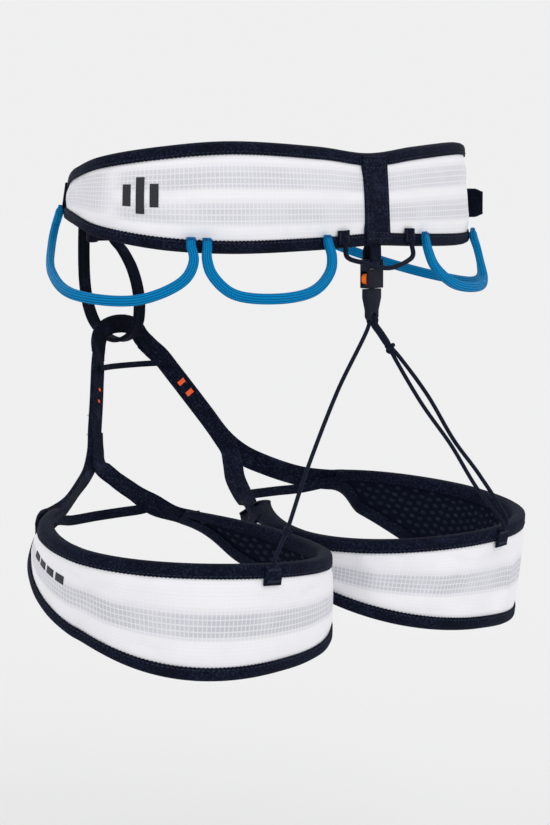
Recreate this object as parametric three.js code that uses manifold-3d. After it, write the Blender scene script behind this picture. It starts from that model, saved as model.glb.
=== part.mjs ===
// A climbing harness: padded waist belt, two padded leg loops, tie-in and belay loops,
// gear loops, a haul loop and elastic rear risers on a small side-release buckle.
// Millimetres, +Z up. The wearer faces -Y and the wearer's left is +X. The origin is on
// the wearer's upright axis, at the middle height of the belt's back.
import * as THREE from 'three';
import { mergeVertices } from 'three/addons/utils/BufferGeometryUtils.js';
import Module from 'manifold-3d';

// ---------------------------------------------------------------- driving dimensions
const CLEARANCE = 0.35;
// Left half of the belt's outer face, from back centre to front centre: x, y, then the
// heights of the top and the bottom edge.
const BELT_OUTLINE = [
  [0, 80, 27, -27], [45, 78, 31, -28.5], [107, 62, 34, -29.5], [138, 37, 31, -27],
  [149, 0, 26, -21], [136, -36, 20, -14], [91, -91, 12, -12], [37, -131, 6, -19], [0, -140, 3, -23],
];
const BELT_FLARE = 3.5;
const BELT_END = 0.415;
const BELT_STEPS = 46;
const FOAM_THICKNESS = 4.5;
const LINING_THICKNESS = 1.5;
const TAPE_THICKNESS = 1;
const TAPE_HEIGHT = 6.5;
const LEG_TAPE_HEIGHT = 7.5;

// Leg loop rims: plan centre, half-widths and exponent of each superellipse. The angle
// runs from the back, over the outside of the thigh, to the front.
const LEG_TOP = { x: 96.5, y: 15.5, halfWidth: 92.5, halfDepth: 88, exponent: 1.85 };
const LEG_BOTTOM = { x: 91, y: 4, halfWidth: 87, halfDepth: 90, exponent: 2.3 };
const LEG_TOP_HEIGHT = { mean: -204.5, backTilt: -10.5, sideTilt: 5, saddle: 3 };
const LEG_BOTTOM_HEIGHT = { mean: -244.5, backTilt: -37.5, sideTilt: -7, saddle: 6 };
const LEG_OUTER_END = THREE.MathUtils.degToRad(154);
const LEG_INNER_END = THREE.MathUtils.degToRad(-135);
// Towards its ends the padding narrows, over the given turns, to the webbing sewn onto it.
const LEG_OUTER_TAPER = THREE.MathUtils.degToRad(18);
const LEG_INNER_TAPER = THREE.MathUtils.degToRad(30);
const LEG_END_HEIGHT = 16.5;
const LEG_STEPS = 36;
const TAB_HEIGHT = 11;

const GEAR_CORD = 6.6;
const GEAR_STEPS = 20;
const GEAR_SIDES = 8;
// Where each gear loop meets the belt, as fractions of the way round from back centre.
const REAR_GEAR_LOOP = [0.062, 0.147];
const FRONT_GEAR_LOOP = [0.1605, 0.352];
const REAR_SAG = 0.88;
const FRONT_SAG = 1.12;
const HAUL_TAB = 0.043;
const HAUL_CORD = 3;

const BELAY_WIDTH = 10;
const TIE_IN_WIDTH = 18;
const STRAP_WIDTH = 14;
const WEBBING = 2.6;
const WAIST_STRAP_WIDTH = 19;
const WAIST_STRAP = 1.8;
const BUCKLE_AT = 0.565;
const TAIL_END = 0.785;
const TAIL_DROP = 7;

const RISER_DEPTH = 80.5;
const RISER_STRAP_WIDTH = 10;
const RISER_CORD = 2.6;
const SOCKET = { halfWidth: 7.5, halfDepth: 3.2, top: -36.5, bottom: -54.2 };
const PLUG = { top: -54.6, shoulder: -60, bottom: -74.5 };
const SQUEEZE_PIVOT = -53.6;

// -------------------------------------------------------------------------- materials
const material = (color, roughness, metalness = 0) =>
  new THREE.MeshStandardMaterial({ color, roughness, metalness });
const WHITE_RIPSTOP = material(0xe9e9f0, 0.75);
const NAVY_MESH = material(0x121a2b, 0.95);
const NAVY_TAPE = material(0x141c2d, 0.85);
const BLACK_WEBBING = material(0x10151f, 0.8);
const BLUE_CORD = material(0x0070b4, 0.7);
const NAVY_PLASTIC = material(0x161f31, 0.35);
const ORANGE_PLASTIC = material(0xff5a14, 0.4);
const ALLOY = material(0xb9bdc4, 0.35, 1);

// ---------------------------------------------------------------------------- helpers
const vector = (x, y, z) => new THREE.Vector3(x, y, z);
const group = new THREE.Group();

function addPart(name, geometry, partMaterial) {
  const mesh = new THREE.Mesh(geometry, partMaterial);
  mesh.name = name;
  group.add(mesh);
}

// Turns the faces over where they point into the solid.
function facingOut(positions, faces) {
  const corner = (index) => vector(...positions.slice(3 * index, 3 * index + 3));
  let volume = 0;
  for (let face = 0; face < faces.length; face += 3) {
    const [a, b, c] = [0, 1, 2].map((step) => corner(faces[face + step]));
    volume += a.dot(b.cross(c));
  }
  return volume < 0 ? faces.reverse() : faces;
}

// Skins a closed solid over rows of points. A row is one cross-section, listed out along
// one side and back along the other, so that its first and last points are neighbours.
function loft(rows, closed = false) {
  const count = rows[0].length;
  const faces = [];
  const quad = (a, b, c, d) => faces.push(a, b, c, a, c, d);
  const spans = closed ? rows.length : rows.length - 1;
  for (let row = 0; row < spans; row += 1) {
    const here = row * count;
    const next = ((row + 1) % rows.length) * count;
    for (let index = 0; index < count; index += 1) {
      const after = (index + 1) % count;
      const corners = [here + index, here + after, next + after, next + index];
      // Every face is split from its lower near corner, so that layers stay parallel.
      if (rows[row][index].z > rows[row][after].z) corners.push(corners.shift());
      quad(...corners);
    }
  }
  if (!closed) {
    const last = (rows.length - 1) * count;
    for (let near = 0; near < count / 2 - 1; near += 1) {
      const far = count - 1 - near;
      quad(far, far - 1, near + 1, near);
      quad(last + near, last + near + 1, last + far - 1, last + far);
    }
  }
  const positions = rows.flat().flatMap((point) => point.toArray());
  const geometry = new THREE.BufferGeometry();
  geometry.setAttribute('position', new THREE.Float32BufferAttribute(positions, 3));
  geometry.setIndex(facingOut(positions, faces));
  return geometry;
}

function spread(count, from, to) {
  return Array.from({ length: count + 1 }, (_, index) => from + ((to - from) * index) / count);
}

// A round cord along a smooth path.
function cord(points, diameter, steps, sides = 8) {
  const corners = Array.from({ length: sides }, (_, index) => {
    const angle = (2 * Math.PI * index) / sides;
    return new THREE.Vector2(Math.cos(angle), Math.sin(angle)).multiplyScalar(diameter / 2);
  });
  const path = new THREE.CatmullRomCurve3(points);
  return new THREE.ExtrudeGeometry(new THREE.Shape(corners), {
    steps, extrudePath: path, bevelEnabled: false,
  });
}

// Flat webbing along a smooth path; each point brings the way its outer face looks.
function ribbon(points, outward, width, thickness, steps) {
  const path = new THREE.CatmullRomCurve3(points);
  const facing = new THREE.CatmullRomCurve3(outward);
  const rows = spread(steps, 0, 1).map((fraction) => {
    const along = path.getTangent(fraction);
    const out = facing.getPoint(fraction);
    out.addScaledVector(along, -out.dot(along)).normalize();
    const across = along.clone().cross(out);
    return [[1, 1], [-1, 1], [-1, -1], [1, -1]].map(([side, face]) =>
      path.getPoint(fraction)
        .addScaledVector(across, (side * width) / 2)
        .addScaledVector(out, (face * thickness) / 2));
  });
  return loft(rows);
}

// A flat outline in the upright plane across Y, thickened along Y about the given depth.
function plateAcrossY(shape, thickness, depth) {
  const plate = new THREE.ExtrudeGeometry(shape, { depth: thickness, bevelEnabled: false });
  plate.rotateX(Math.PI / 2);
  plate.translate(0, depth + thickness / 2, 0);
  return plate;
}

// A flat outline in the upright plane across X (drawn as y, z), thickened along X.
function plateAcrossX(shape, thickness) {
  const plate = new THREE.ExtrudeGeometry(shape, { depth: thickness, bevelEnabled: false });
  plate.applyMatrix4(new THREE.Matrix4().makeBasis(vector(0, 1, 0), vector(0, 0, 1), vector(1, 0, 0)));
  plate.translate(-thickness / 2, 0, 0);
  return plate;
}

const polygon = (points) => new THREE.Shape(points.map(([x, y]) => new THREE.Vector2(x, y)));

// A padded band has, at each place along it, a top and a bottom point on its outer face.
// Points on it are given by a distance from either edge and a depth outside that face.
function bandPoint({ top, bottom, out }, edge, inset, depth) {
  const up = top.clone().sub(bottom).normalize();
  const start = edge === 'top' ? top : bottom;
  const direction = edge === 'top' ? -1 : 1;
  return start.clone().addScaledVector(up, direction * inset).addScaledVector(out, depth);
}

// A layer of a band between two depths. Its faces run through the given points, each an
// edge and a distance in from it, listed from the bottom up.
const WHOLE_HEIGHT = [['bottom', 0], ['top', 0]];
function panel(band, places, outer, inner, levels = WHOLE_HEIGHT) {
  return loft(places.map((place) => {
    const frame = band(place);
    const face = (depth) => levels.map(([edge, inset]) => bandPoint(frame, edge, inset, depth));
    return [...face(outer), ...face(inner).reverse()];
  }));
}

const PADDING = FOAM_THICKNESS + CLEARANCE + LINING_THICKNESS;

// Tape folded over a band's edge and down both of its faces.
function edgeTape(band, places, edge, height) {
  const outerFace = CLEARANCE;
  const innerFace = -PADDING - CLEARANCE;
  const crest = -CLEARANCE - TAPE_THICKNESS;
  const section = [
    [height, outerFace + TAPE_THICKNESS], [crest, outerFace + TAPE_THICKNESS],
    [crest, innerFace - TAPE_THICKNESS], [height, innerFace - TAPE_THICKNESS],
    [height, innerFace], [-CLEARANCE, innerFace], [-CLEARANCE, outerFace], [height, outerFace],
  ];
  return loft(places.map((place) => {
    const frame = band(place);
    return section.map(([inset, depth]) => bandPoint(frame, edge, inset, depth));
  }));
}

// ------------------------------------------------------------------------- waist belt
const mirrored = BELT_OUTLINE.slice(1, -1).reverse().map(([x, ...rest]) => [-x, ...rest]);
const outline = [...BELT_OUTLINE, ...mirrored];
const closedCurve = (points) => new THREE.CatmullRomCurve3(points, true);
const beltTop = closedCurve(outline.map(([x, y, top]) => vector(x, y, top)));
const beltBottom = closedCurve(outline.map(([x, y, , bottom]) => vector(x, y, bottom)));

// The belt at a fraction of the way round, from back centre over the wearer's left.
function belt(place) {
  const turn = ((place % 1) + 1) % 1;
  const along = beltTop.getTangent(turn);
  const out = vector(-along.y, along.x, 0).normalize();
  return {
    top: beltTop.getPoint(turn),
    bottom: beltBottom.getPoint(turn).addScaledVector(out, BELT_FLARE),
    out,
  };
}

const beltPlaces = spread(BELT_STEPS, -BELT_END, BELT_END);
const liningDepth = -FOAM_THICKNESS - CLEARANCE;
addPart('belt_shell', panel(belt, beltPlaces, 0, -FOAM_THICKNESS), WHITE_RIPSTOP);
addPart('belt_lining', panel(belt, beltPlaces, liningDepth, -PADDING), NAVY_MESH);
addPart('belt_top_tape', edgeTape(belt, beltPlaces, 'top', TAPE_HEIGHT), NAVY_TAPE);
addPart('belt_bottom_tape', edgeTape(belt, beltPlaces, 'bottom', TAPE_HEIGHT), NAVY_TAPE);

// Upright webbing down the middle of the back, between the two edge tapes.
const tapeFace = CLEARANCE + TAPE_THICKNESS;
const overTape = tapeFace + CLEARANCE;
const patchInset = TAPE_HEIGHT + CLEARANCE;
const BACK_PATCH_REACH = 0.0155;
addPart('back_patch', panel(belt, spread(2, -BACK_PATCH_REACH, BACK_PATCH_REACH),
  CLEARANCE + 1.4, CLEARANCE, [['bottom', patchInset], ['top', patchInset]]), NAVY_TAPE);

// ------------------------------------------------- waist strap, buckle and tie-in loop
const strapDepth = overTape + WAIST_STRAP;
const strapInset = (place) => {
  const { top, bottom } = belt(place);
  return (top.distanceTo(bottom) - WAIST_STRAP_WIDTH) / 2;
};
// Past the front keeper, the tail hangs gradually below the belt's middle.
const strapDrop = (place) => TAIL_DROP * Math.max(0, (place - 0.665) / (TAIL_END - 0.665));

// Waist webbing outside the belt.
function waistWebbing(places, outer = strapDepth, inner = overTape) {
  return loft(places.map((place) => {
    const frame = belt(place);
    const bottomInset = strapInset(place) - strapDrop(place);
    const topInset = strapInset(place) + strapDrop(place);
    return [
      ['bottom', bottomInset, outer], ['top', topInset, outer],
      ['top', topInset, inner], ['bottom', bottomInset, inner],
    ].map(([edge, inset, depth]) => bandPoint(frame, edge, inset, depth));
  }));
}

const BUCKLE_REACH = 0.0125;
const STRAP_START = 0.372;
const strapGap = 0.0035;
addPart('waist_strap', waistWebbing(spread(12, STRAP_START, BUCKLE_AT - BUCKLE_REACH - strapGap)),
  BLACK_WEBBING);
addPart('waist_strap_tail', waistWebbing(spread(12, BUCKLE_AT + BUCKLE_REACH + strapGap, TAIL_END)),
  BLACK_WEBBING);

// The strap's end is folded back on itself and stands off the belt.
const tailFrame = belt(TAIL_END);
const tailHeight = strapInset(TAIL_END) - TAIL_DROP + WAIST_STRAP_WIDTH / 2;
const tailMiddle = bandPoint(tailFrame, 'bottom', tailHeight, strapDepth);
const tailAlong = tailFrame.out.clone().cross(vector(0, 0, 1));
const TAIL_REACH = 13;
const TAIL_STAND_OFF = 13;
const tailStart = tailMiddle.clone().addScaledVector(tailAlong, 1.2);
const tailTip = tailStart.clone()
  .addScaledVector(tailAlong, TAIL_REACH)
  .addScaledVector(tailFrame.out, TAIL_STAND_OFF);
addPart('waist_strap_fold', ribbon([tailStart, tailTip], [tailFrame.out, tailFrame.out],
  WAIST_STRAP_WIDTH, 3 * WAIST_STRAP, 2), BLACK_WEBBING);

// Elastic keepers hold the tail to the belt.
const KEEPER_REACH = 0.006;
for (const [name, place] of [['tail_keeper_front', 0.63], ['tail_keeper_rear', 0.7]]) {
  const places = spread(2, place - KEEPER_REACH, place + KEEPER_REACH);
  const face = strapDepth + CLEARANCE;
  addPart(name, waistWebbing(places, face + 1, face), NAVY_TAPE);
}

// A two-plate waist buckle: a frame with a slot, and a sliding bar that grips the strap.
const wasm = await Module();
wasm.setup();

function toSolid(geometry) {
  const bare = new THREE.BufferGeometry();
  bare.setAttribute('position', geometry.getAttribute('position'));
  if (geometry.index) bare.setIndex(geometry.index);
  const merged = mergeVertices(bare, 1e-5);
  return new wasm.Manifold(new wasm.Mesh({
    numProp: 3,
    vertProperties: Float32Array.from(merged.getAttribute('position').array),
    triVerts: Uint32Array.from(merged.index.array),
  }));
}

function toGeometry(solid) {
  const mesh = solid.getMesh();
  const geometry = new THREE.BufferGeometry();
  geometry.setAttribute('position', new THREE.BufferAttribute(mesh.vertProperties, 3));
  geometry.setIndex(new THREE.BufferAttribute(mesh.triVerts, 1));
  return geometry;
}

function box(width, depth, height, x = 0, y = 0, z = 0) {
  return toSolid(new THREE.BoxGeometry(width, depth, height).translate(x, y, z));
}

const BUCKLE_SIZE = { width: 21, height: 27, thickness: 3.4 };
const buckleFrame = belt(BUCKLE_AT);
const buckleMiddle = bandPoint(buckleFrame, 'bottom',
  strapInset(BUCKLE_AT) + WAIST_STRAP_WIDTH / 2, overTape + 0.9 + BUCKLE_SIZE.thickness / 2);
const buckleAlong = buckleFrame.out.clone().cross(vector(0, 0, 1)).normalize();
// Local X runs along the strap, local Y upward, local Z away from the belt.
const bucklePlacement = new THREE.Matrix4()
  .makeBasis(buckleAlong, vector(0, 0, 1), buckleAlong.clone().cross(vector(0, 0, 1)))
  .setPosition(buckleMiddle);
const slotHeight = WAIST_STRAP_WIDTH + 1.4;
const frameSolid = box(BUCKLE_SIZE.width, BUCKLE_SIZE.height, BUCKLE_SIZE.thickness)
  .subtract(box(BUCKLE_SIZE.width - 8, slotHeight, BUCKLE_SIZE.thickness + 1));
addPart('waist_buckle_frame', toGeometry(frameSolid).applyMatrix4(bucklePlacement), ALLOY);
const sliderBar = new THREE.BoxGeometry(7, slotHeight - 1, 2.2).translate(0, 0, 0.2);
addPart('waist_buckle_slider', sliderBar.applyMatrix4(bucklePlacement), ALLOY);

// The upper tie-in loop bridges the waist strap at the front, open from top to bottom.
const tieInBack = -140 - strapDepth - CLEARANCE;
const tieInFront = -166;
const tieInMiddle = -22;
const tieInPath = [
  vector(-22, tieInBack - 2.2, tieInMiddle), vector(-16, tieInBack - 5, tieInMiddle),
  vector(-11, tieInFront + 4.5, tieInMiddle), vector(-5, tieInFront + WEBBING / 2, tieInMiddle),
  vector(5, tieInFront + WEBBING / 2, tieInMiddle), vector(11, tieInFront + 4.5, tieInMiddle),
  vector(16, tieInBack - 5, tieInMiddle),
  vector(22, tieInBack - 2.2, tieInMiddle),
];
const tieInFacing = [
  [-0.2, -1], [-0.8, -0.7], [-0.6, -0.8], [0, -1], [0, -1], [0.6, -0.8], [0.8, -0.7], [0.2, -1],
].map(([x, y]) => vector(x, y, 0));
addPart('tie_in_loop', ribbon(tieInPath, tieInFacing, TIE_IN_WIDTH, WEBBING, 17), BLACK_WEBBING);

// ----------------------------------------------------------- belay loop and lower arch
// The belay loop's outer face in the plane x = 0, as y, z, going round from the top.
const BELAY_OUTER = [
  [-168, -7.5], [-174, -9.5], [-178, -14], [-179, -20], [-179, -58], [-175, -76], [-168, -88],
  [-157, -96], [-145, -98.5], [-133, -95], [-125, -86], [-123, -74], [-124.5, -62], [-130, -48],
  [-139, -36], [-147, -29], [-150.2, -22], [-152, -14], [-158, -9],
];
const outerRing = BELAY_OUTER.map(([y, z]) => new THREE.Vector2(y, z));
const innerRing = outerRing.map((point, index) => {
  const count = outerRing.length;
  const before = outerRing[(index + count - 1) % count];
  const after = outerRing[(index + 1) % count];
  const firstWay = point.clone().sub(before).normalize();
  const secondWay = after.clone().sub(point).normalize();
  const bisector = firstWay.clone().add(secondWay).normalize();
  const inward = new THREE.Vector2(-bisector.y, bisector.x);
  const stretch = WEBBING / Math.sqrt((1 + firstWay.dot(secondWay)) / 2);
  return point.clone().addScaledVector(inward, stretch);
});
const belayShape = new THREE.Shape(outerRing);
belayShape.holes.push(new THREE.Path(innerRing));
addPart('belay_loop', plateAcrossX(belayShape, BELAY_WIDTH), BLACK_WEBBING);

// The lower tie-in arch passes through the belay loop and ends on the two leg straps.
const ARCH_DEPTH = -144;
const ARCH_WIDTH = 12;
const archPath = [
  [-19.6, -95.6], [-16.6, -91], [-12, -88], [-6, -86.4], [0, -86],
  [6, -86.4], [12, -88], [16.6, -91], [19.6, -95.6],
].map(([x, z]) => vector(x, ARCH_DEPTH, z));
const archFacing = [vector(0, -1, 0), vector(0, -1, 0)];
addPart('lower_tie_in_arch', ribbon(archPath, archFacing, ARCH_WIDTH, WEBBING, 15), BLACK_WEBBING);

// --------------------------------------------------------------------------- leg loops
const power = (value, exponent) => Math.sign(value) * Math.abs(value) ** exponent;

function legRim(rim, heights, angle) {
  const exponent = 2 / rim.exponent;
  return vector(
    rim.x + rim.halfWidth * power(Math.sin(angle), exponent),
    rim.y + rim.halfDepth * power(Math.cos(angle), exponent),
    heights.mean + heights.backTilt * Math.cos(angle) + heights.sideTilt * Math.sin(angle)
      + heights.saddle * Math.cos(2 * angle),
  );
}

const legBand = (side) => (angle) => {
  const top = legRim(LEG_TOP, LEG_TOP_HEIGHT, angle);
  const bottom = legRim(LEG_BOTTOM, LEG_BOTTOM_HEIGHT, angle);
  const fromOuterEnd = (LEG_OUTER_END - angle) / LEG_OUTER_TAPER;
  const fromInnerEnd = (angle - LEG_INNER_END) / LEG_INNER_TAPER;
  const fullness = THREE.MathUtils.smoothstep(Math.min(fromOuterEnd, fromInnerEnd), 0, 1);
  bottom.lerp(top, (1 - fullness) * (1 - LEG_END_HEIGHT / top.distanceTo(bottom)));
  const out = vector(
    Math.sin(angle) / LEG_TOP.halfWidth, Math.cos(angle) / LEG_TOP.halfDepth, 0,
  ).normalize();
  const flip = vector(side, 1, 1);
  return { top: top.multiply(flip), bottom: bottom.multiply(flip), out: out.multiply(flip) };
};

// Where the rear riser meets each leg loop: a little further round on the left.
const riserPlace = (side) => THREE.MathUtils.degToRad(side > 0 ? 11.5 : 3.5);

// Paths of the left leg's webbing; the right leg's are their mirror image.
const FRONT_STRAP_TOP = [
  [21.4, -142.4, -98.6], [25, -138.2, -104], [29.5, -133.6, -110], [35, -128.5, -119.6],
];
const FRONT_STRAP_BOTTOM = [[36.4, -127.2, -122.2], [43, -121, -134], [52, -113, -150], [61, -105, -166]];
const OUTER_BRANCH = [[63.2, -103.2, -168.6], [72, -99, -177], [88, -91.5, -185.5], [110, -80, -194]];
const INNER_BRANCH = [[61, -98.6, -174.5], [55.5, -91.5, -181.5], [48, -82, -190], [41, -69, -198.5]];
const CROSS_BAND = [[108, -75, -202], [84, -78, -202], [62, -76.5, -201.5], [51, -74, -201]];
const STRAP_FACING = [0.05, -1, 0.1];
const OUTER_FACING = [[0.05, -1, 0.1], [0.25, -0.9, 0.3], [0.45, -0.87, 0.2]];
const INNER_FACING = [
  [0.05, -1, 0.1], [0.1, -0.97, -0.2], [0.1, -0.95, -0.1], [-0.2, -0.9, 0.2], [-0.5, -0.6, 0.5],
];
const BAND_FACING = [[0.3, -0.95, 0], [-0.3, -0.95, 0]];

// A point just off one end of the left leg's padding, at the given depth in its thickness.
function paddingEnd(side, inset, depth) {
  const angle = (side > 0 ? LEG_OUTER_END : LEG_INNER_END) + side * THREE.MathUtils.degToRad(2.2);
  return bandPoint(legBand(1)(angle), 'top', inset, depth).toArray();
}
OUTER_BRANCH.push(paddingEnd(1, 9, -0.5));
INNER_BRANCH.push(paddingEnd(-1, 8.5, -0.5));
CROSS_BAND.unshift(paddingEnd(1, 10.5, -6.2));

for (const [sideName, side] of [['left', 1], ['right', -1]]) {
  const band = legBand(side);
  const places = spread(LEG_STEPS, LEG_INNER_END, LEG_OUTER_END);
  const flipped = (points) => points.map(([x, y, z]) => vector(side * x, y, z));
  const strap = (points, facing, width, steps, thickness = WEBBING) =>
    ribbon(flipped(points), flipped(facing), width, thickness, steps);
  const name = (piece) => `leg_${piece}_${sideName}`;

  const levels = [['bottom', 0], ['bottom', LEG_TAPE_HEIGHT], ['top', LEG_TAPE_HEIGHT], ['top', 0]];
  addPart(name('shell'), panel(band, places, 0, -FOAM_THICKNESS, levels), WHITE_RIPSTOP);
  addPart(name('lining'), panel(band, places, liningDepth, -PADDING, levels), NAVY_MESH);
  addPart(name('top_tape'), edgeTape(band, places, 'top', LEG_TAPE_HEIGHT), NAVY_TAPE);
  addPart(name('bottom_tape'), edgeTape(band, places, 'bottom', LEG_TAPE_HEIGHT), NAVY_TAPE);

  const strapFacing = [STRAP_FACING, STRAP_FACING];
  const upperStrap = strap(FRONT_STRAP_TOP, strapFacing, STRAP_WIDTH, 4);
  addPart(`front_strap_${sideName}`, upperStrap, BLACK_WEBBING);
  addPart(name('front_strap'), strap(FRONT_STRAP_BOTTOM, strapFacing, STRAP_WIDTH, 4), BLACK_WEBBING);
  addPart(name('outer_branch'), strap(OUTER_BRANCH, OUTER_FACING, STRAP_WIDTH, 8), NAVY_TAPE);
  addPart(name('inner_branch'), strap(INNER_BRANCH, INNER_FACING, 13, 10), NAVY_TAPE);
  addPart(name('cross_band'), strap(CROSS_BAND, BAND_FACING, 6.5, 8, 1.4), NAVY_TAPE);

  const tabPlace = riserPlace(side);
  const tabReach = THREE.MathUtils.degToRad(3.2);
  addPart(name('riser_tab'), panel(band, spread(2, tabPlace - tabReach, tabPlace + tabReach),
    overTape + 2, overTape, [['top', TAB_HEIGHT], ['top', 0.5]]), NAVY_TAPE);
}

// A thin strap keeps the two front straps together.
const keeperHeight = -113.5;
const keeperPath = [[-33, -127.6], [-15, -133.6], [15, -133.6], [33, -127.6]]
  .map(([x, y]) => vector(x, y, keeperHeight));
const keeperFacing = [[-0.3, -1], [0.3, -1]].map(([x, y]) => vector(x, y, 0));
addPart('cross_keeper', ribbon(keeperPath, keeperFacing, 4, 1, 8), NAVY_TAPE);

// -------------------------------------------------------------------------- gear loops
// Each loop's run, as a fraction from one end to the other, and its drop below the edge.
const LOOP_RUN = [0, -0.01, 0.03, 0.2, 0.5, 0.8, 0.97, 1.01, 1];
const LOOP_DROP = [-3.5, 5, 15, 27, 31, 27, 15, 5, -3.5];
const LOOP_BULGE = [0, 1.5, 4, 8, 10, 8, 4, 1.5, 0];

for (const [sideName, side] of [['left', 1], ['right', -1]]) {
  const loops = [['rear', REAR_GEAR_LOOP, REAR_SAG], ['front', FRONT_GEAR_LOOP, FRONT_SAG]];
  for (const [loopName, [from, to], sag] of loops) {
    const points = LOOP_RUN.map((run, index) => {
      const frame = belt(side * (from + (to - from) * run));
      const depth = overTape + GEAR_CORD / 2 + LOOP_BULGE[index];
      const drop = LOOP_DROP[index] > 0 ? LOOP_DROP[index] * sag : LOOP_DROP[index];
      return bandPoint(frame, 'bottom', 0, depth).add(vector(0, 0, -drop));
    });
    const braid = cord(points, GEAR_CORD, GEAR_STEPS, GEAR_SIDES);
    addPart(`gear_loop_${loopName}_${sideName}`, braid, BLUE_CORD);
  }
}

// The haul loop hangs from two tabs at the back.
const haulDepth = overTape + HAUL_CORD / 2;
const haulEnd = (side, inset, out) => bandPoint(belt(side * HAUL_TAB), 'bottom', inset, haulDepth + out);
const haulPath = [
  haulEnd(1, 0.5, 0), haulEnd(1, -6, 1), vector(20, 92, -38), vector(0, 94, -41.5),
  vector(-20, 92, -38), haulEnd(-1, -6, 1), haulEnd(-1, 0.5, 0),
];
addPart('haul_loop', cord(haulPath, HAUL_CORD, 22), NAVY_TAPE);
const TAB_REACH = 0.0045;
for (const [sideName, side] of [['left', 1], ['right', -1]]) {
  const places = spread(2, side * HAUL_TAB - TAB_REACH, side * HAUL_TAB + TAB_REACH);
  addPart(`haul_tab_${sideName}`, loft(places.map((place) => {
    const frame = belt(place);
    return [[2.6, 3.4], [9.4, 3.4], [9.4, 0], [2.6, 0]].map(([inset, depth]) =>
      bandPoint(frame, 'bottom', inset, overTape + depth));
  })), NAVY_TAPE);
}

// --------------------------------------------------------------- rear riser and buckle
// A flat ring of the given half sizes with rounded ends, as y, z about the riser's depth.
function stadium(halfDepth, top, bottom) {
  const arc = [0, 60, 120, 180].map((degrees) => THREE.MathUtils.degToRad(degrees));
  const corner = (angle, middle) =>
    new THREE.Vector2(RISER_DEPTH + halfDepth * Math.cos(angle), middle + halfDepth * Math.sin(angle));
  const upper = arc.map((angle) => corner(angle, top - halfDepth));
  const lower = arc.map((angle) => corner(angle + Math.PI, bottom + halfDepth));
  return [...upper, ...lower];
}

const strapRing = new THREE.Shape(stadium(2.7, -29.4, -42));
strapRing.holes.push(new THREE.Path(stadium(1.5, -30.6, -40.8)));
addPart('riser_strap', plateAcrossX(strapRing, RISER_STRAP_WIDTH), NAVY_TAPE);

const socketHeight = SOCKET.top - SOCKET.bottom;
const socketMiddle = (SOCKET.top + SOCKET.bottom) / 2;
const barBottom = SOCKET.top - 2.1;
const strapSlot = 4.1;
const cavityTop = barBottom - strapSlot - 1.2;
const cavityHeight = cavityTop - SOCKET.bottom + 1;
const windowHeight = 8;
const recessHeight = 3.1;
const recessMiddle = barBottom + recessHeight / 2;
const socketBody = box(2 * SOCKET.halfWidth, 2 * SOCKET.halfDepth, socketHeight, 0, RISER_DEPTH, socketMiddle)
  .subtract(box(RISER_STRAP_WIDTH + 1, 20, strapSlot, 0, RISER_DEPTH, barBottom - strapSlot / 2))
  .subtract(box(12, 4.2, cavityHeight, 0, RISER_DEPTH, cavityTop - cavityHeight / 2))
  .subtract(box(30, 4.2, windowHeight, 0, RISER_DEPTH, cavityTop - windowHeight / 2))
  .subtract(box(RISER_STRAP_WIDTH + 1, 4, recessHeight, 0, RISER_DEPTH + 3.2, recessMiddle))
  .subtract(box(RISER_STRAP_WIDTH + 1, 4, recessHeight, 0, RISER_DEPTH - 3.2, recessMiddle));
addPart('riser_buckle_socket', toGeometry(socketBody), NAVY_PLASTIC);

// The plug: a waisted body with a cord eye, and a middle tongue that guides it.
const plugOutline = polygon([
  [-7, PLUG.top], [-0.8, PLUG.top], [-0.8, -46], [0.8, -46], [0.8, PLUG.top], [7, PLUG.top],
  [7, PLUG.shoulder], [4.6, -68], [4.6, -72], [2.5, PLUG.bottom], [-2.5, PLUG.bottom],
  [-4.6, -72], [-4.6, -68], [-7, PLUG.shoulder],
]);
const cordEye = new THREE.Path().absarc(0, -71, 1.9, 0, 2 * Math.PI, false);
plugOutline.holes.push(new THREE.Path(cordEye.getPoints(8).slice(0, -1)));
const plugSolid = toSolid(plateAcrossY(plugOutline, 3.6, RISER_DEPTH));
addPart('riser_buckle_plug', toGeometry(plugSolid), NAVY_PLASTIC);

// Two sprung prongs with oval press pads that stand out of the socket's side windows.
for (const [sideName, side] of [['left', 1], ['right', -1]]) {
  const outlinePoints = [
    [2.6, SQUEEZE_PIVOT - 0.6], [2.6, -46.4], [3.6, -44.9], [6.4, -45.3], [7.9, -47], [8.1, -48.6],
    [7.9, -50.2], [6.6, -51.6], [4.6, -52.2], [4.4, SQUEEZE_PIVOT - 0.6],
  ].map(([x, z]) => [side * x, z]);
  const prong = plateAcrossY(polygon(outlinePoints), 3.4, RISER_DEPTH);
  addPart(`riser_prong_${sideName}`, prong, ORANGE_PLASTIC);
}

// Elastic cords from the plug's eye to the leg loops: one single strand to the left, and
// a sleeve, a knot and two strands to the right.
const eyeBelow = vector(0, RISER_DEPTH, PLUG.bottom - 0.6);
const legHook = (side) => {
  const frame = legBand(side)(riserPlace(side));
  return bandPoint(frame, 'top', -3.4, overTape + 1);
};
const leftHook = legHook(1);
const rightHook = legHook(-1);
const between = (from, to, fraction) => from.clone().lerp(to, fraction);
const leftStart = eyeBelow.clone().add(vector(2.4, 0, -1));
const straightCord = (from, to, diameter, steps) =>
  cord([from, between(from, to, 0.5), to], diameter, steps);
const leftKnot = (fraction) => between(leftStart, leftHook, fraction);
addPart('riser_cord_left', straightCord(leftStart, leftKnot(0.855), RISER_CORD, 16), NAVY_TAPE);
const knot = (at, radius) => new THREE.SphereGeometry(radius, 10, 6).translate(...at.toArray());
addPart('riser_knot_left', knot(leftKnot(0.883), 3.4), NAVY_TAPE);
addPart('riser_cord_left_end', straightCord(leftKnot(0.911), leftHook, RISER_CORD, 3), NAVY_TAPE);

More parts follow.
